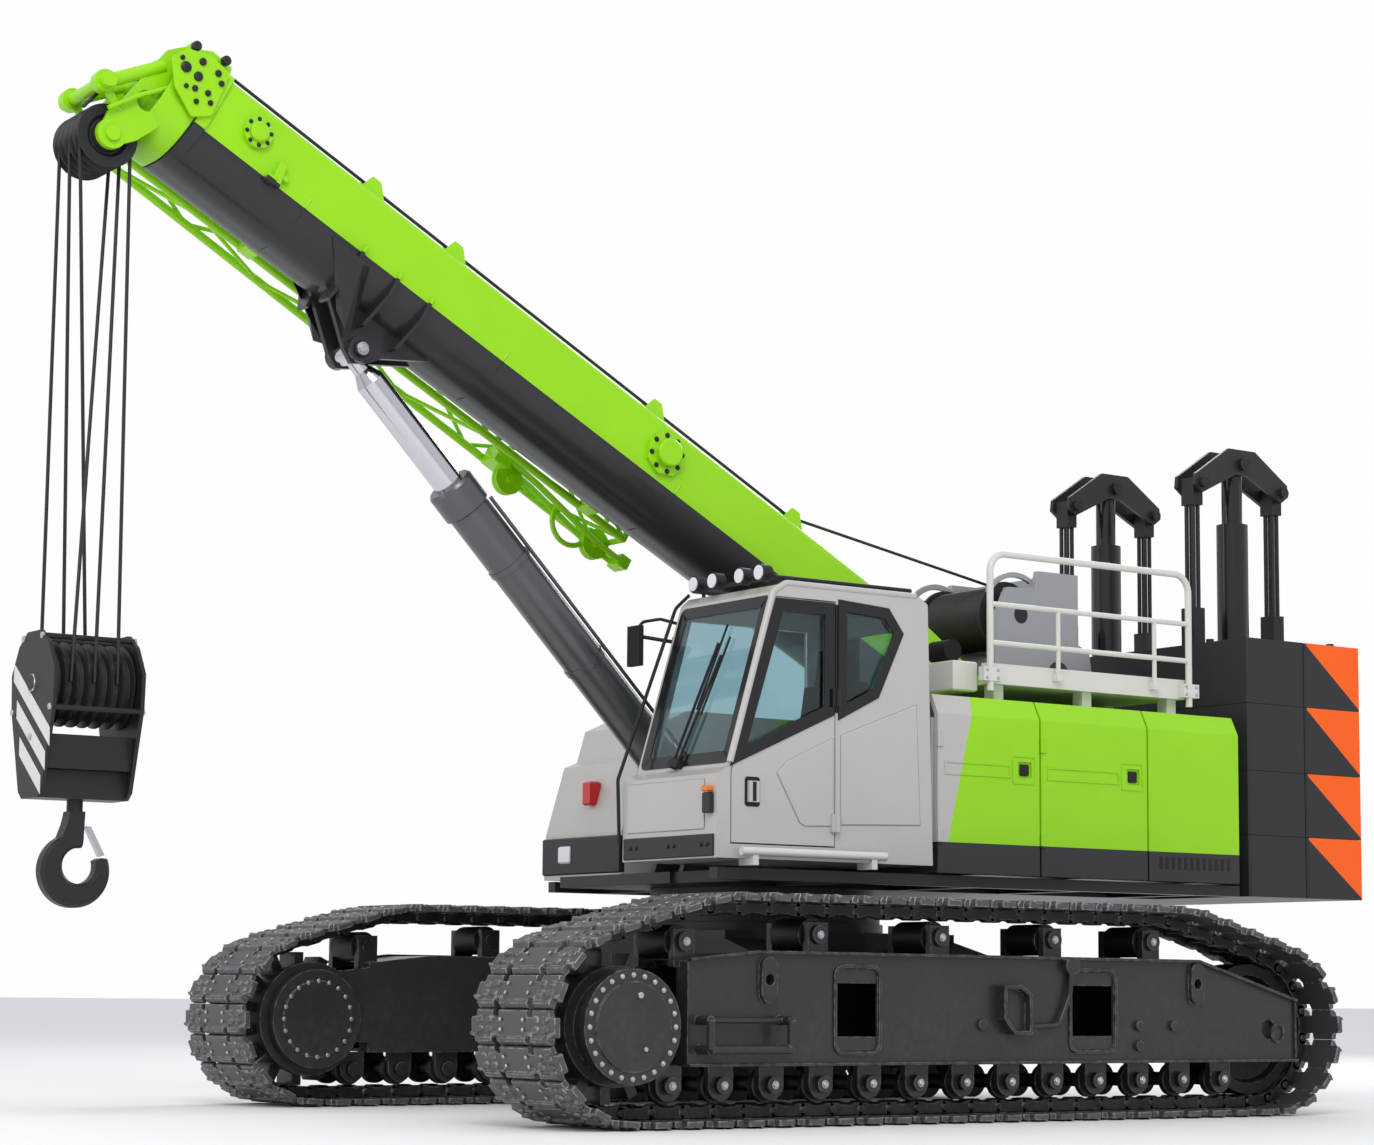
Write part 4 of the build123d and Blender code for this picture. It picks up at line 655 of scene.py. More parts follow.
def disc(radius, height, place, axis=(1, 0, 0), sides=24, bevel=0.002):
    """Round cap that stands on a face."""
    return turned([(-0.002, radius), (height - bevel, radius), (height, radius - bevel)], place, axis, sides)


def bar(start, end, radius, sides=12):
    """Straight round bar between two points."""
    start, end = np.array(start, float), np.array(end, float)
    return turned([(0, radius), (np.linalg.norm(end - start), radius)], start, end - start, sides)


def ring(centre, radius, count):
    """Places on a circle across X: centre + radius * (0, cos t, sin t)."""
    x, y, z = centre
    return [(x, y + radius * math.cos(t), z + radius * math.sin(t))
            for t in np.arange(count) * math.tau / count]


def ribbon(path, thickness):
    """Outline of a strip along a path of (y, z) points: there on one side, back on the other."""
    path = np.array(path, float)
    ahead = unit(np.gradient(path, axis=0))
    across = np.stack([-ahead[:, 1], ahead[:, 0]], -1) * thickness / 2
    return np.concatenate([path + across, (path - across)[::-1]])


# %% [markdown]
# ## Tracks
# A track is 64 cast shoes bolted to a closed chain. The loop is four circles joined by their tangents; a
# table of points round it gives the place at any distance, and each shoe lies on the chord between two of
# them, so its ends never stand outside the loop. The shoe's ends are drawn in, which is how cast pads leave
# room for mud.

# %% The loop
TRACK_X, SHOE_COUNT = 1.8, 64
DRIVE_Y, DRIVE_Z = -2.45, 0.555   # from the slewing axis, as everything on the loop
LOOP = np.array([(DRIVE_Y, DRIVE_Z, 0.555), (2.45, 0.54, 0.54),
                 (1.62, 0.6, 0.7), (-1.75, 0.6, 0.7)])   # y, z, radius of each circle
ARC_POINTS = 60


def loop_table():
    """Points round the loop and the way to each. Span k leaves circle k at a normal angle theta_k, where
    cos(theta_k - direction) = (r_k - r_next) / length."""
    step = np.roll(LOOP, -1, 0)[:, :2] - LOOP[:, :2]
    length = np.linalg.norm(step, axis=1)
    lean = (LOOP[:, 2] - np.roll(LOOP[:, 2], -1)) / length
    theta = np.unwrap(np.arctan2(step[:, 1], step[:, 0]) - np.arccos(lean))
    before = np.concatenate([[theta[-1] - 2 * np.pi], theta[:-1]])
    turn = np.linspace(before, theta, ARC_POINTS, axis=1)
    centre, radius = LOOP[:, None, :2], LOOP[:, None, 2:]
    points = (centre + radius * np.stack([np.cos(turn), np.sin(turn)], -1)).reshape(-1, 2)
    points = np.concatenate([points, points[:1]])
    return points, np.concatenate([[0], np.cumsum(np.linalg.norm(np.diff(points, axis=0), axis=1))])


LOOP_POINTS, LOOP_WAY = loop_table()
PITCH = LOOP_WAY[-1] / SHOE_COUNT


def on_loop(distance):
    """Points (y, z) at distances along the loop."""
    distance = np.mod(distance, LOOP_WAY[-1])
    return np.stack([np.interp(distance, LOOP_WAY, LOOP_POINTS[:, i]) for i in (0, 1)], -1)


def chord_frames(shift, reach):
    """Middle of each chord, and its axes: across the track, along the chord, outward."""
    middle = (np.arange(SHOE_COUNT) + shift) * PITCH
    start, end = on_loop(middle - reach), on_loop(middle + reach)
    ahead = unit(end - start)
    none = np.zeros(SHOE_COUNT)
    frames = np.stack([np.stack([none - 1, none, none], -1), np.stack([none, ahead[:, 0], ahead[:, 1]], -1),
                       np.stack([none, ahead[:, 1], -ahead[:, 0]], -1)], 1)
    places = np.stack([none, (start + end)[:, 0] / 2 + SLEW_Y, (start + end)[:, 1] / 2], -1)
    return places, frames


print("belt", round(LOOP_WAY[-1], 3), "m, pitch", round(PITCH, 4))

# %% Shoes, chain and their bolts
CHAIN_Z = -0.086
BOLT_SHARES = (-0.2, 0.06)


def shoe():
    """Pad: a section along the track, drawn in at both ends and beside the chain, where mud drops out."""
    section = np.array([(-0.47, -0.046), (-0.47, -0.02), (-0.44, -0.012), (0.24, -0.012), (0.28, 0),
                        (0.38, 0), (0.42, -0.014), (0.46, -0.022), (0.46, -0.046)])
    outer = [(0.425, 0.5), (0.419, 0.56), (0.372, 0.58), (0.366, 0.97), (0.205, 0.97), (0.2, 0.58),
             (0.145, 0.58), (0.14, 0.97)]
    station = np.array([(-x, share) for x, share in outer] + outer[::-1])
    x = np.repeat(station[:, 0][:, None], len(section), 1)
    y = station[:, 1][:, None] * section[:, 0] * PITCH
    z = np.broadcast_to(section[:, 1], x.shape)
    return np.stack([x, y, z], -1).reshape(-1, 3), skin(*x.shape)


def lug(x, y):
    """Oblong raised eye of a shoe bolt, cast on the pad."""
    return placed(plate(rounded(oblong(-0.03, -0.016, 0.03, 0.016), 0.015, 3), -0.014, -0.001, 0.003),
                  (x, y, 0))


def pad_bolt(x, y):
    """Six-sided head sunk into the pad."""
    return placed(plate(circle(0.012, 6), -0.006, 0, 0.002), (x, y, 0))


def link(x):
    """Chain link: a waisted plate on edge, from pin to pin."""
    half, tall = 0.56 * PITCH, 0.036
    outline = [(-half, -tall), (-0.5 * half, -tall), (-0.3 * half, -0.7 * tall), (0.3 * half, -0.7 * tall),
               (0.5 * half, -tall), (half, -tall), (half + 0.012, 0), (half, tall), (-half, tall),
               (-half - 0.012, 0)]
    return placed(plate(outline, -0.016, 0.016, 0.004), (x, 0, CHAIN_Z), (0, 1, 0), (0, 0, 1), (1, 0, 0))


def on_pads(make, xs, pads):
    """One small form on every pad, at each x and beside both rows of bolts."""
    return copies(together([make(x, share * PITCH) for x in xs for share in BOLT_SHARES]), *pads)


def track_shapes():
    """The whole loop of one track: shoes with lugs, chain with pins, bolt heads."""
    pads = chord_frames(0.5, 0.49 * PITCH)
    shoes = together([copies(shoe(), *pads), on_pads(lug, (-0.33, -0.24, 0.24, 0.33), pads)])
    heads = on_pads(pad_bolt, (-0.115, 0.115), pads)
    links = copies(together([link(x) for x in (-0.132, -0.098, 0.098, 0.132)]),
                   *chord_frames(0.5, 0.5 * PITCH))
    pin = turned([(-0.158, 0.02), (0.158, 0.02)], (0, 0, CHAIN_Z), sides=10)
    return shoes, together([links, copies(pin, *chord_frames(0.0, 0.1 * PITCH))]), heads


SHOES, CHAIN, PAD_BOLTS = track_shapes()
for side, sign in zip(SIDES, (1, -1)):
    shift = (sign * TRACK_X, 0, 0)
    track = add_piece(f"{side}_track_shoes", placed(SHOES, shift), track_steel, "undercarriage", smooth=30)
    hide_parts(f"{side}_track")
    add_piece(f"{side}_track_chain", placed(CHAIN, shift), chain_steel, "undercarriage", smooth=30)
    add_piece(f"{side}_shoe_bolts", placed(PAD_BOLTS, shift), bright_steel, "undercarriage",
              30)
print("track faces", 2 * (len(SHOES[1]) + len(CHAIN[1])))

# %% [markdown]
# ## Track frames
# The frame is a welded box. Flanges run along its top and bottom edge, the two inspection windows have a
# rim, and every roller axle ends in a cap with one bright bolt. The drive's cover is held by a ring of 24
# bolts.

# %% Frame flanges, rims, caps and bolts
FRAME_X = TRACK_X + 0.28
TOP_EDGE = [(-2.03, 0.922), (-1.58, 0.97), (1.83, 0.96), (2.69, 0.72)]
WINDOWS = ((-1.0, -0.7), (0.785, 1.13))
ROLLERS_LOW = [(-2.1 + 0.35 * i, 0.231) for i in range(13)]
ROLLERS_TOP = [(-2.0, 1.022), (-1.07, 1.075), (-0.17, 1.075), (0.71, 1.075), (1.52, 1.075)]
COVER_X, CAP_HEIGHT = TRACK_X + 0.373, 0.012


def frame_plates():
    """Flanges, window rims, framed recess, bent handle and small bosses of a track frame's side."""
    x = FRAME_X
    edges = ((TOP_EDGE, 0.018, 0.035), ([(-2.03, 0.345), (2.69, 0.345)], 0.018, 0.035),
             ([(2.682, 0.36), (2.682, 0.71)], 0.014, 0.02))
    shapes = [side_plate(ribbon(path, wide), x - 0.01, x + out) for path, wide, out in edges]
    for y0, y1 in WINDOWS:
        rim = rounded(oblong(y0, 0.415, y1, 0.885), 0.045)
        shapes.append(side_band(inset(rim, -0.022), 0.02, x - 0.004, x + 0.012))
        shapes += [side_plate(oblong(y0, z0, y1, z1), x - 0.03, x - 0.006)
                   for z0, z1 in ((0.415, 0.5), (0.8, 0.885))]
    recess = [(0.2, 0.8), (0.335, 0.8), (0.42, 0.745), (0.42, 0.51), (0.28, 0.51), (0.2, 0.6)]
    shapes += [side_band(recess, 0.02, x - 0.004, x + 0.07), side_plate(inset(recess, 0.02), x, x + 0.02)]
    handle = side_spots(x + 0.03, [(0.42, 0.555), (0.66, 0.565), (0.745, 0.74), (0.764, 0.9)])
    shapes.append(pipe(bent(handle, 0.07), 0.017))
    shapes.append(side_plate(rounded(oblong(0.71, 0.87, 0.82, 0.97), 0.04), x, x + 0.05))
    bosses = side_spots(x, [(0.074, 0.567), (1.33, 0.56), (1.62, 0.56), (1.33, 0.44), (0.46, 0.55)])
    shapes += [disc(0.032, 0.025, place, sides=12) for place in bosses]
    return shapes + [side_band(circle(0.062, 20, (2.53, 0.515)), 0.016, x - 0.002, x + 0.012)]


def drive_bolts():
    """Two rings of bolts on a drive, outside and facing the carbody, and two plugs on the outer cover."""
    y, z = SLEW_Y + DRIVE_Y, DRIVE_Z
    inner_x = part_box("left_drive_wheel")[0][0]
    return together([bolts(ring((COVER_X, y, z), 0.279, 24), (1, 0, 0), 0.011, 0.011),
                     disc(0.018, 0.022, (COVER_X + 0.01, y + 0.03, z + 0.17), sides=12),
                     disc(0.013, 0.018, (COVER_X + 0.01, y + 0.07, z - 0.12), sides=12),
                     bolts(ring((inner_x, y, z), 0.24, 20), (-1, 0, 0), 0.011, 0.011)])


caps, cap_bolts = [], []
for rollers, radius, cap_x in ((ROLLERS_LOW, 0.05, TRACK_X + 0.233), (ROLLERS_TOP, 0.055, TRACK_X + 0.214)):
    caps += [disc(radius, CAP_HEIGHT, place, sides=16) for place in side_spots(cap_x, rollers)]
    cap_bolts += side_spots(cap_x + CAP_HEIGHT, rollers)
add_piece("track_frame_details", both(frame_plates() + caps), frame_charcoal, "undercarriage")
add_piece("track_frame_bolts", both([drive_bolts(), bolts(cap_bolts, (1, 0, 0), 0.018, 0.012)]), bright_steel,
          "undercarriage")

# %% [markdown]
# ## Cab
# The cab is pressed sheet with bonded glass. Its panes end in a broad black border that hides the glue, the
# door and the panel behind it have a crease pressed in, and a pale gutter tube runs along the roof edge.

# %% Window borders, creases and handles
CAB_X = 1.5
DOOR_PANE = [(-1.255, 2.15), (-0.975, 3.02), (-0.625, 3.02), (-0.625, 2.43)]
REAR_PANE = [(-0.5, 2.44), (-0.5, 3.05), (-0.18, 3.03), (-0.095, 2.92), (-0.27, 2.555)]
DOOR_CREASE = [(-0.58, 2.262), (-0.93, 2.105), (-1.0, 2.03), (-0.83, 1.74), (-0.79, 1.722), (-0.58, 1.73)]
PANEL_CREASE = [(-0.525, 2.28), (0.06, 2.5), (0.09, 1.76), (-0.525, 1.74)]

door_border = side_band(inset(DOOR_PANE, -0.052), 0.075, CAB_X - 0.002, CAB_X + 0.006)
add_piece("door_window_border", door_border, black_trim, "cab_door")
rear_border = side_band(inset(REAR_PANE, -0.045), 0.066, CAB_X - 0.002, CAB_X + 0.006)
add_piece("rear_window_border", rear_border, black_trim)
CREASES = (("door_crease", DOOR_CREASE, "cab_door"), ("panel_crease", PANEL_CREASE, "upper_machine"))
for name, outline, body in CREASES:
    add_piece(name, side_plate(outline, CAB_X - 0.004, CAB_X + 0.007, 0.0065), cab_grey, body)
recess = side_plate(rounded(oblong(-1.232, 1.825, -1.122, 2.0), 0.02), CAB_X - 0.002, CAB_X + 0.005)
grip = brick((CAB_X + 0.005, SLEW_Y - 1.19, 1.85), (CAB_X + 0.026, SLEW_Y - 1.163, 1.975), 0.006)
add_piece("door_handle", [recess, grip], plastic, "cab_door")
gutter = side_spots(CAB_X - 0.012, [(-1.33, 2.08), (-1.022, 3.11), (-0.93, 3.165), (0.06, 3.165)])
add_piece("cab_gutter", pipe(bent(gutter, 0.06), 0.021), cab_grey)
print("cab side trimmed")


# %% Windscreen border, wipers, lamps and the front panel
def on_windscreen(shape):
    """Shape drawn flat on the sloping front: x across, y up the slope, z out of the glass."""
    low, high = np.array([0, -1.33, 2.06]), np.array([0, -1.015, 3.11])
    up = (high - low) / np.linalg.norm(high - low)
    return placed(shape, (0, SLEW_Y + low[1], low[2]), (1, 0, 0), up, np.cross((1, 0, 0), up))


def wiper(x, reach, swing):
    """Arm from its pivot up the glass, with the blade on its outer part."""
    tip = (x + reach * math.sin(swing), 0.03 + reach * math.cos(swing))
    near = (x + 0.45 * reach * math.sin(swing), 0.03 + 0.45 * reach * math.cos(swing))
    arm = bar((x, 0.03, 0.03), (*tip, 0.03), 0.009)
    blade = bar((near[0] + 0.02, near[1], 0.018), (tip[0] + 0.03, tip[1] + 0.12, 0.018), 0.007)
    return together([arm, blade, disc(0.028, 0.05, (x, 0.03, 0), (0, 0, 1), 16)])


FRONT = SLEW_Y - 1.43
screen = band(rounded(oblong(0.548, 0.02, 1.472, 1.075), 0.05), 0.075, -0.006, 0.006)
add_piece("windscreen_border", on_windscreen(screen), black_trim)
add_piece("wipers", on_windscreen(together([wiper(0.93, 0.78, 0.2), wiper(0.98, 0.7, 0.24)])), plastic)
trim = [brick((0.545, FRONT - 0.012, 1.53), (1.475, FRONT + 0.01, 1.66), 0.006),
        brick((1.40, FRONT - 0.035, 1.78), (1.47, FRONT + 0.005, 1.9), 0.006)]
trim += [disc(0.012, 0.012, (x, FRONT - 0.012, 1.6), (0, -1, 0), 8)
         for x in (0.62, 0.68, 1.02, 1.08, 1.36, 1.42)]
add_piece("cab_front_trim", trim, charcoal)
panel = plate(rounded(oblong(0.57, 1.69, 1.38, 1.985), 0.012), 0, 0.006, 0.004)
add_piece("cab_front_panel", placed(panel, (0, FRONT, 0), (1, 0, 0), (0, 0, 1), (0, -1, 0)), cab_grey)
marker = brick((1.405, FRONT - 0.045, 1.905), (1.465, FRONT, 1.94), 0.008)
add_piece("cab_marker_lamp", marker, amber_lens)
rack_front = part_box("roof_lamp_rack")[0][1]
lenses = [disc(0.044, 0.008, (x, rack_front, 3.235), (0, -1, 0), 20) for x in (0.68, 0.88, 1.16, 1.36)]
add_piece("roof_lamp_lenses", lenses, white_lens)
post = [(0.512, FRONT - 0.02, 1.62), (0.512, FRONT - 0.035, 2.02),
        *side_spots(0.512, [(-1.05, 3.1), (-0.95, 3.19)])]
loop = [(x, SLEW_Y + y, z) for x, y, z in ((0.53, -1.02, 3.0), (0.42, -1.1, 3.04), (0.36, -1.2, 3.02),
                                           (0.36, -1.25, 2.9))]
add_piece("cab_grab_rails", [pipe(bent(post, 0.08), 0.011), pipe(bent(loop, 0.04), 0.01)], plastic)
print("cab front trimmed")

# %% Housing beside the cab
HOUSING_FRONT = SLEW_Y - 0.72
HOUSING_PARTS = (
    ("housing_bumper", (-1.485, -0.022, 1.51), (-0.555, 0.02, 1.755), 0.008, charcoal),
    ("housing_headlamp", (-1.275, -0.032, 1.585), (-1.135, 0, 1.70), 0.01, white_lens),
    ("housing_marker_lamp", (-1.04, 0.005, 1.965), (-0.95, 0.09, 2.125), 0.012, red_lens))
for name, low, high, bevel, material in HOUSING_PARTS:
    low, high = ((x, HOUSING_FRONT + y, z) for x, y, z in (low, high))
    add_piece(name, brick(low, high, bevel), material)
print("housing fitted")

# %% [markdown]
# ## Side houses
# Service doors are pressed steel. A long shallow groove stiffens each of the first two doors and ends at a
# latch in a square pocket. Vents are cut behind them, and the walkway carries a small box with a roll of
# hose.

# %% Door pressings and latches
LATCH_Z = 2.14
HOUSE_FACE = (1.497, 1.5045)


def door_pressing(y0, y1):
    """Raised field round the latch with a groove running forward from it."""
    groove = oblong(y0 + 0.05, LATCH_Z - 0.055, y1 - 0.24, LATCH_Z + 0.03)
    field = rounded(oblong(y1 - 0.225, LATCH_Z - 0.09, y1 - 0.035, LATCH_Z + 0.09), 0.02)
    return together([side_band(groove, 0.012, *HOUSE_FACE), side_band(field, 0.01, *HOUSE_FACE)])


def latch(y):
    """Square pocket with a round lock in it."""
    pocket = rounded(oblong(y - 0.036, LATCH_Z - 0.036, y + 0.036, LATCH_Z + 0.036), 0.01)
    return together([side_plate(pocket, 1.485, 1.4995),
                     disc(0.013, 0.006, (1.4985, SLEW_Y + y, LATCH_Z), sides=14)])


for label, y0, y1 in (("front", 0.23, 1.055), ("middle", 1.07, 1.975)):
    for side, flip in zip(SIDES, (lambda shape: shape, mirrored)):
        body = f"{side}_{label}_door"
        add_piece(f"{body}_pressing", flip(door_pressing(y0, y1)), house_paint, body)
        add_piece(f"{body}_latch", flip(latch(y1 - 0.12)), plastic, body)
vents = [side_plate(oblong(y, 1.56, y + 0.03, 1.64), 1.496, 1.503) for y in np.arange(2.08, 2.72, 0.055)]
add_piece("house_vents", both(vents), plastic)
box = brick((0.98, SLEW_Y + 0.55, 2.64), (1.26, SLEW_Y + 0.75, 2.83), 0.01)
add_piece("walkway_box", box, off_white)
ROLL = (1.1, SLEW_Y + 0.61, 2.9)
roll = turned([(-0.09, 0.03), (-0.09, 0.07), (0.09, 0.07), (0.09, 0.03)], ROLL)
add_piece("hose_roll", [roll, bar((*ROLL[:2], 2.82), ROLL, 0.02)], rubber)
rail_bolts = [(1.399, SLEW_Y + y + dy, z) for y in (0.76, 2.48) for dy in (-0.045, 0.045)
              for z in (2.72, 2.77)]
add_piece("handrail_bolts", bolts(rail_bolts, (1, 0, 0), 0.009, 0.008), bright_steel)
print("houses and walkway")

# %% [markdown]
# ## Winch and hoist rope
# The rope lies on the drum in 28 close turns. Seen from the side the turns are half rounds, so the pack is
# one lathe form whose radius follows |sin|. From the drum the rope runs over the guides on the boom's back;
# where it crosses from one body to the next, a short fixed length lies between the two and rides on neither.

# %% Rope pack on the drum
DRUM_AT = np.array(joints["winch_spin"]["pos_m"])
ROPE_PACK, TURNS, PACK_HALF = 0.205, 28, 0.296
ROPE_RADIUS = 0.0105


def rope_pack():
    """Radius along the drum: pack + rope radius * |sin(pi * turns * share of the width)|."""
    x = np.linspace(-PACK_HALF, PACK_HALF, TURNS * 8 + 1)
    radius = ROPE_PACK + ROPE_RADIUS * np.abs(np.sin((x + PACK_HALF) / (2 * PACK_HALF) * np.pi * TURNS))
    return turned(np.column_stack([x, radius]), DRUM_AT, sides=40)


def hood(x0, x1, radius, thickness, start, end):
    """Arch over the drum: an arc of one thickness, from one angle to another."""
    turn = np.radians(np.linspace(start, end, 24))
    arc = np.column_stack([np.cos(turn), np.sin(turn)])
    outline = np.concatenate([arc * (radius + thickness), (arc * radius)[::-1]])
    return side_plate(outline + (DRUM_AT[1] - SLEW_Y, DRUM_AT[2]), x0, x1)


add_piece("rope_on_drum", rope_pack(), rope_steel, "winch_drum")
flange_bolts = bolts(ring(DRUM_AT + (0.329, 0, 0), 0.16, 10), (1, 0, 0), 0.012, 0.01)
add_piece("drum_flange_bolts", flange_bolts, bright_steel, "winch_drum")
hoods = [hood(-0.425, -0.4, 0.26, 0.04, 40, 215), hood(0.4, 0.425, 0.26, 0.035, 60, 150)]
add_piece("drum_hoods", hoods, bare_steel)
print("drum wound with", TURNS, "turns at", DRUM_AT.round(3))

# %% Hoist rope along the boom
ROPE_Y, ROPE_Z = 0.19, 0.605
ROPE_START, ROPE_END = 1.56, 6.2
LINK_LENGTH = 0.025   # of each short piece that runs from one section to the next
CHAIN_OF_BODIES = ("boom", "boom_section_2", "boom_section_3", "boom_section_4")


def rope(name, path, body=None):
    """A length of hoist rope along a path."""
    return add_piece(name, pipe(path, ROPE_RADIUS, 8), rope_steel, body)


drum_top = DRUM_AT + (ROPE_Y, 0, ROPE_PACK + 0.012)
first = on_boom(ROPE_START, ROPE_Y, ROPE_Z)
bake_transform(rope("rope_winch_to_boom", np.linspace(drum_top, first, 24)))
rope("rope_on_boom", on_boom([ROPE_START, ROPE_END], ROPE_Y, ROPE_Z), "boom")
for start, a, b in zip((6.2, 6.225, 6.25), CHAIN_OF_BODIES, CHAIN_OF_BODIES[1:]):
    ends = on_boom([start, start + LINK_LENGTH], ROPE_Y, ROPE_Z)
    path = on_boom(np.linspace(start, start + LINK_LENGTH, 12), ROPE_Y, ROPE_Z)
    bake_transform(rope(f"rope_{a}_to_{b}", path))
to_head = on_boom([6.275, 6.48, 6.76, 6.815], ROPE_Y - np.array([0, 0, 0.05, 0.05]),
                  [ROPE_Z, ROPE_Z - 0.02, 0.12, -0.1])
rope("rope_to_head_sheave", bent(to_head, 0.1), "boom_section_4")
print("hoist rope laid")

# %% [markdown]
# ## Boom
# The base section carries round bolted covers where its inner sections are pinned, a small clamp near its
# end, weld beads round its section and a gusset over the rod's ears. The head is closed by a lime shroud
# that follows the boom's own section, between two bolted side plates.

# %% Boom fittings
BOOM_SIDE, COVER_OUT = 0.33, 0.03
ROD_PIN = (4.675, -0.268)


def boom_side_plate(outline, out0, out1, bevel=0.003):
    """Outline given as (x, z) on the boom's left side, raised from out0 to out1."""
    points, faces = plate(outline, out0, out1, bevel)
    return boom_placed((points[:, [0, 2, 1]], [face[::-1] for face in faces]))


def ring_bolts(x, z, radius, size):
    """Eight bolts in a circle on a cover of the boom's left side."""
    turn = np.arange(8) * math.tau / 8 + 0.3
    spots = on_boom(x + radius * np.cos(turn), BOOM_SIDE + COVER_OUT, z + radius * np.sin(turn))
    return bolts(spots, LEFT, size, size)


def boss(radius, height, top, shoulder, place, axis=(1, 0, 0), sides=32):
    """Round boss with a chamfered edge: full radius up to the shoulder, 'top' at its height."""
    return turned([(0, radius), (shoulder, radius), (height, top)], place, axis, sides)


def gusset():
    """Hollow pyramid that carries the rod's load up the side of the boom: a tall face and a narrow one meet
    on a ridge that stands out from the side."""
    along = [5.228, 4.93, 4.78, 4.93, 5.014, 4.84]
    out = [0.32, 0.32, 0.165, 0.165, 0.41, 0.2]
    high = [0.13, 0.11, -0.24, -0.17, 0.078, -0.25]
    return on_boom(along, out, high), [[0, 4, 1], [0, 3, 5, 4], [4, 5, 2, 1], [3, 2, 5], [0, 1, 2, 3]]


def seam(x, width=0.006):
    """Weld bead round the boom's section: half way up both sides and under the belly, high - radius * cos."""
    t = np.linspace(-1, 1, 49)
    angle = t * math.pi / 2
    radius, high = 0.29, 0.23
    swell = np.sin(angle) * radius + np.sign(t) * (BOOM_SIDE - radius) * np.abs(np.sin(angle))
    y = np.where(np.abs(t) < 1, swell, np.sign(t) * BOOM_SIDE)
    return pipe(on_boom(np.full(len(t), x), y, high - np.cos(angle) * radius), width, 6, ALONG)


covers = [ring_bolts(2.645, 0.335, 0.115, 0.013), ring_bolts(5.925, 0.35, 0.078, 0.01)]
add_piece("boom_cap_bolts", both(covers), dark_steel, "boom")
CLAMP = (([(5.66, 0.14), (5.72, 0.14), (5.73, 0.28), (5.68, 0.29)], 0.04),
         (oblong(5.63, 0.2, 5.68, 0.235), 0.03), (oblong(5.7, 0.13, 5.76, 0.175), 0.05))
clamp = [boom_side_plate(outline, BOOM_SIDE - 0.004, BOOM_SIDE + out) for outline, out in CLAMP]
add_piece("boom_clamp", clamp, boom_paint, "boom")
add_piece("boom_welds", [seam(x) for x in (2.45, 3.9, 5.45)], boom_paint, "boom")
add_piece("boom_gussets", both(gusset()), charcoal, "boom", smooth=0)
pin_x, pin_z = ROD_PIN
add_piece("rod_pin_ends", both(boss(0.05, 0.024, 0.044, 0.018, on_boom(pin_x, 0.158, pin_z))), dark_steel,
          "boom")
add_piece("rod_pin_bolts", both(bolts([on_boom(pin_x, 0.178, pin_z)], LEFT, 0.03, 0.02)), bright_steel,
          "boom")
print("boom base fitted with", len(CLAMP), "clamp pieces")

# %% Boom head
SHROUD_STATIONS = ((6.285, 0.33, 0.53, -0.06, 0.29), (6.36, 0.33, 0.53, -0.055, 0.28),
                   (6.5, 0.3, 0.47, 0.02, 0.24))
HEAD_PLATE = [(6.581, 0.386), (6.534, 0.487), (6.395, 0.545), (6.242, 0.53), (6.212, 0.24), (6.312, 0.156),
              (6.486, 0.249)]
PLATE_OUT = 0.352
PLATE_PINS = ((6.485, 0.386, 0.032), (6.397, 0.385, 0.028), (6.417, 0.478, 0.022), (6.379, 0.312, 0.018),
              (6.3, 0.338, 0.018), (6.306, 0.48, 0.02), (6.335, 0.25, 0.016), (6.26, 0.298, 0.016),
              (6.53, 0.42, 0.014), (6.26, 0.44, 0.018), (6.43, 0.29, 0.014))   # along, up, radius


def shroud():
    """Head shroud: the boom's U section, a little smaller and higher at the front, as a shell 8 mm thick."""
    turn = np.linspace(math.pi, 2 * math.pi, 25)
    rings = []
    for x, half, top, low, radius in SHROUD_STATIONS:
        for shell in (0.0, 0.008):
            a, b, r = half - shell, top - shell, radius - shell
            flat = np.where(np.cos(turn) < 0, -(a - r), a - r)
            belly = np.column_stack([np.cos(turn) * r + flat, low + shell + r + np.sin(turn) * r])
            outline = np.concatenate([belly, [(a, b - 0.04), (a - 0.04, b), (-a + 0.04, b), (-a, b - 0.04)]])
            rings.append(on_boom(np.full(len(outline), x), outline[:, 0], outline[:, 1]))
    order = [rings[i] for i in (0, 2, 4, 5, 3, 1)]
    return np.concatenate(order), grid_faces(6, len(order[0]), wrap_rows=True, wrap_cols=True).tolist()


add_piece("head_shroud", shroud(), lime, "boom_section_4")
side_sheet = boom_side_plate(rounded(HEAD_PLATE, 0.03, 4), PLATE_OUT, PLATE_OUT + 0.016)
add_piece("head_side_plates", both(side_sheet), lime, "boom_section_4")
heads = [boss(r, 0.018, r * 0.7, 0.012, on_boom(x, PLATE_OUT + 0.014, z), sides=14) for x, z, r in PLATE_PINS]
add_piece("head_plate_pins", both(heads), dark_steel, "boom_section_4")
ends = [boss(0.029, 0.036, 0.022, 0.03, on_boom(x, 0.298, z), sides=20)
        for x, z in ((6.48, 0.562), (6.29, 0.605))]
add_piece("head_roller_caps", both(ends), dark_steel, "boom_section_4")
rods = [pipe(bent(on_boom([6.72, 6.6, 6.42], 0.27, [-0.07, 0.12, 0.34]), 0.1), 0.014),
        pipe(on_boom([6.75, 6.42], 0.0, [0.2, 0.6]), 0.012)]
add_piece("head_rods", rods, lime, "boom_section_4")
print("head fitted, with", len(PLATE_PINS), "pins on each side plate")

# %% Fittings of the stowed jib
JIB_SIDE = -0.66
JIB_STRAPS = ((3.2, 0.1, 2.9, 0.08), (2.9, 0.08, 2.33, 0.0), (2.33, 0.0, 2.1, 0.0))   # x0, z0, x1, z1


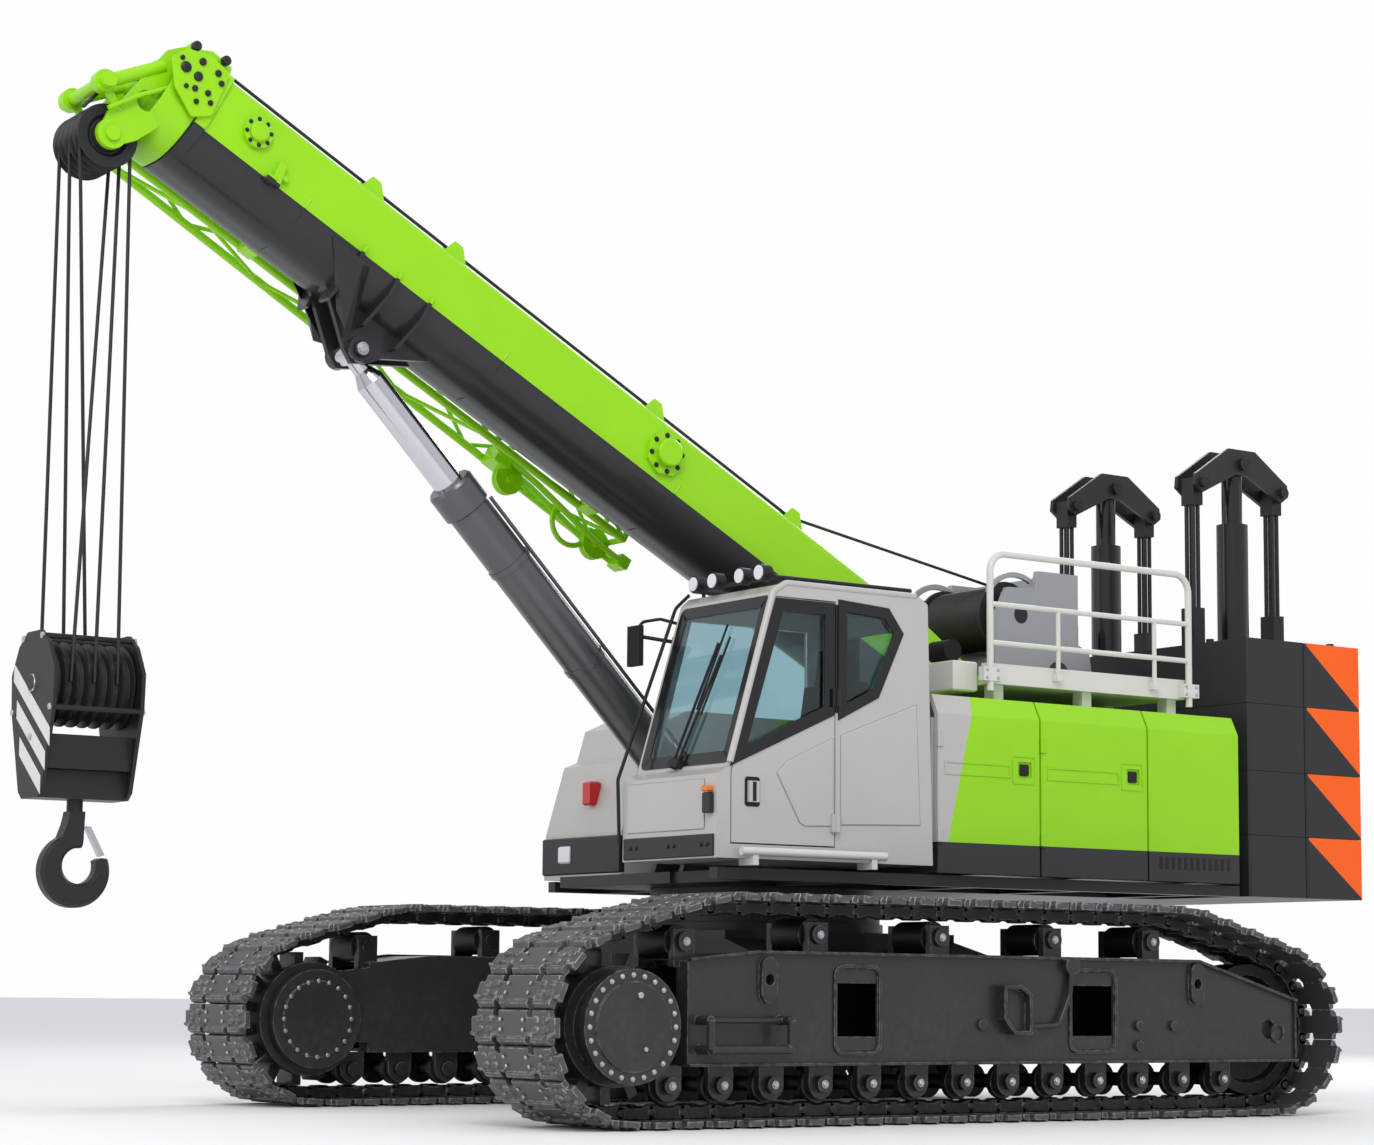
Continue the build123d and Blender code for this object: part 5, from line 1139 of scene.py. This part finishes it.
def jib_pulley(x, z, radius):
    """Sheave with a round-bottomed groove, on a pin."""
    groove = [(-0.03, radius * 0.3), (-0.03, radius), (-0.016, radius), (0, radius * 0.86), (0.016, radius),
              (0.03, radius), (0.03, radius * 0.3)]
    place = on_boom(x, JIB_SIDE, z)
    return together([turned(groove, place, sides=28), turned([(-0.06, 0.03), (0.06, 0.03)], place, sides=14)])


def jib_hoop(x, z, radius):
    """Round keeper bent from bar, open at the top."""
    turn = np.linspace(math.radians(-200), math.radians(20), 22)
    return pipe(on_boom(x + radius * np.cos(turn), JIB_SIDE, z + radius * np.sin(turn)), 0.018, 8, LEFT)


def jib_block(low, high, bevel):
    """Bevelled block given by two corners in boom coordinates."""
    return boom_placed(brick(low, high, bevel))


gear = [jib_pulley(3.087, 0.0, 0.1), jib_pulley(2.327, 0.0, 0.1), jib_hoop(2.54, 0.03, 0.15)]
gear += [pipe(on_boom([x0, x1], JIB_SIDE + y, [z0, z1]), 0.022, 8) for y in (-0.05, 0.05)
         for x0, z0, x1, z1 in JIB_STRAPS]
gear += [jib_block((2.06, JIB_SIDE - 0.07, -0.04), (2.14, JIB_SIDE + 0.07, 0.05), 0.008),
         jib_block((3.15, JIB_SIDE - 0.09, 0.02), (3.27, JIB_SIDE + 0.09, 0.15), 0.01)]
add_piece("jib_tip_gear", gear, lime, "boom")
clips = [jib_block((x - 0.05, -0.46, 0.09 - 0.05), (x + 0.05, -0.32, 0.09 + 0.05), 0.01) for x in (2.6, 5.4)]
add_piece("jib_stow_brackets", clips, lime, "boom")
print("jib gear")

# %% Cylinder line
barrel_low = np.array(joints["luff_cylinder_swing"]["pos_m"])
rod_way = np.array(joints["luff_rod_slide"]["axis"])
rod_way = rod_way / np.linalg.norm(rod_way)
rod_up = np.cross(LEFT, -rod_way)
line = bar(*(barrel_low + rod_way * a + rod_up * 0.15 + LEFT * 0.05 for a in (0.4, 2.7)), 0.012)
CLAMP_RING = [(-0.02, 0.137), (-0.02, 0.143), (0.02, 0.143), (0.02, 0.137)]
clamps = [turned(CLAMP_RING, barrel_low + rod_way * a, rod_way, 40) for a in (0.7, 1.5, 2.3)]
add_piece("cylinder_line", [line] + clamps, barrel_steel, "luff_barrel")
print("line along the cylinder, held by", len(clamps), "clamps")

# %% [markdown]
# ## Hook block
# Charcoal cheek plates with three white bands that slope the same way, so that the driver sees the block
# turn.

# %% Bands, guards and nuts
BLOCK = np.array(joints["block_sheaves_spin"]["pos_m"])
CHEEK_OUT, BAND_SLOPE, BAND_HALF = 0.272, 0.75, 0.052
BLOCK_NUTS = ((-0.13, 0.255), (0.13, 0.255), (-0.262, -0.15), (0.262, -0.15), (0, -0.3))


def slope_band(z, out, flip):
    """One sloping band on a cheek plate: a parallelogram as wide as the plate is at that height."""
    half = 0.27 - 0.16 * max(0.0, (-0.1 - z)) / 0.5
    rise, wide = half * BAND_SLOPE, BAND_HALF
    outline = [(-half, z - wide + rise), (-half, z + wide + rise), (half, z + wide - rise),
               (half, z - wide - rise)]
    return placed(plate(outline, 0, 0.0022, 0.0008), BLOCK + (0, out, 0), (flip, 0, 0), (0, 0, 1),
                  (0, -1 * flip, 0))


bands = [slope_band(z, -flip * (CHEEK_OUT + 0.0002), flip) for flip in (1, -1) for z in (-0.12, -0.29, -0.46)]
add_piece("block_bands", bands, off_white, "hook_block")
nuts = [boss(0.055, 0.012, 0.048, 0.008, BLOCK + (0, sign * CHEEK_OUT, 0), (0, sign, 0), 6)
        for sign in (-1, 1)]
nuts += [disc(0.02, 0.012, BLOCK + (x, sign * CHEEK_OUT, z), (0, sign, 0), 6) for sign in (-1, 1)
         for x, z in BLOCK_NUTS]
add_piece("block_nuts", nuts, bright_steel, "hook_block")

# %% Counterweight and lift gear bolts
LIFT_PINS = ((3.625, 4.47, 0.045), (3.237, 4.305, 0.038), (4.013, 4.305, 0.038))   # y, z, radius
caps = [disc(r, 0.02, (sign * 0.65 + 0.124, SLEW_Y + y, z), sides=16) for sign in (1, -1)
        for y, z, r in LIFT_PINS]
add_piece("lift_pin_caps", caps, dark_steel)
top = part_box("counterweight_row_4")[1][2] - 0.002
studs = [disc(0.028, 0.04, (x, SLEW_Y + y, top), (0, 0, 1), 12) for x in (-1.3, -1.0, 1.0, 1.3)
         for y in (3.05, 3.9)]
add_piece("weight_studs", studs, dark_steel)

# %% [markdown]
# ## Light, floor and camera
# A pale floor and an even world light let every colour render about as it is written; one large lamp gives
# the shadows a direction, and two weaker ones lift the dark sides.


# %% Floor and lamps
def stage_material(name, shade):
    """Plain matt material of one grey."""
    material = bpy.data.materials.new(name)
    material.use_nodes = True
    shader = material.node_tree.nodes["Principled BSDF"]
    shader.inputs["Base Color"].default_value = (shade, shade, shade, 1)
    shader.inputs["Roughness"].default_value = 0.8
    return material


def make_stage():
    """A wide floor, and a world that the camera sees a little brighter than it lights."""
    size = 400.0
    mesh = bpy.data.meshes.new("floor")
    mesh.from_pydata([(x, y, 0) for x, y in oblong(-size, -size, size, size)], [], [(0, 1, 2, 3)])
    mesh.materials.append(stage_material("pale_floor", 0.88))
    floor = bpy.data.objects.new("floor", mesh)
    bpy.context.scene.collection.objects.link(floor)
    world = bpy.data.worlds.new("studio")
    bpy.context.scene.world = world
    world.use_nodes = True
    tree = world.node_tree
    shade = tree.nodes["Background"]
    seen = add_node(tree, "LightPath").outputs["Is Camera Ray"]
    tree.links.new(mixed(tree, seen, (0.93, 0.95, 1.0, 1), (1.24, 1.24, 1.24, 1)), shade.inputs["Color"])
    shade.inputs["Strength"].default_value = 0.8


def look_at(place, target):
    """Matrix of something at 'place' that looks along its own -Z to 'target'."""
    back = (Vector(place) - Vector(target)).normalized()
    right = Vector((0, 0, 1)).cross(back).normalized()
    up = back.cross(right)
    turn = Matrix((right, up, back)).transposed().to_4x4()
    return Matrix.Translation(place) @ turn


def lamp(name, place, target, size, power):
    """Square area lamp that faces a target."""
    data = bpy.data.lights.new(name, "AREA")
    data.size, data.energy = size, power
    light = bpy.data.objects.new(name, data)
    bpy.context.scene.collection.objects.link(light)
    light.matrix_world = look_at(place, target)


make_stage()
lamp("key", (14, -10, 16), (0, 0, 2), 9, 1700)
lamp("fill", (-4, -16, 8), (0, 0, 2), 9, 350)
lamp("rim", (-10, 14, 12), (0, 0, 3), 8, 900)

# %% [markdown]
# The camera stands low, in front of the machine and to its left, and looks up at the boom. Its place is
# given by the distance and bearing from the slewing axis.

# %% Camera
CAMERA_DISTANCE, CAMERA_BEARING, CAMERA_HEIGHT = 19.518, 53.689, 0.746
VIEW_YAW, VIEW_PITCH, VIEW_ROLL = 55.146, 6.377, 0.476
LENS, SHIFT_UP = 78.94, 0.06


def make_camera():
    """Camera at its bearing; it looks along (-sin yaw * cos pitch, cos yaw * cos pitch, sin pitch)."""
    data = bpy.data.cameras.new("camera")
    data.lens, data.shift_y = LENS, SHIFT_UP
    data.clip_end = 200
    camera = bpy.data.objects.new("camera", data)
    bpy.context.scene.collection.objects.link(camera)
    bearing, yaw, pitch = (math.radians(v) for v in (CAMERA_BEARING, VIEW_YAW, VIEW_PITCH))
    place = (CAMERA_DISTANCE * math.sin(bearing), SLEW_Y - CAMERA_DISTANCE * math.cos(bearing), CAMERA_HEIGHT)
    ahead = Vector((-math.sin(yaw) * math.cos(pitch), math.cos(yaw) * math.cos(pitch), math.sin(pitch)))
    aim = look_at(place, Vector(place) + ahead)
    camera.matrix_world = aim @ Matrix.Rotation(math.radians(VIEW_ROLL), 4, "Z")
    bpy.context.scene.camera = camera


make_camera()
bpy.context.scene.view_settings.view_transform = "Standard"
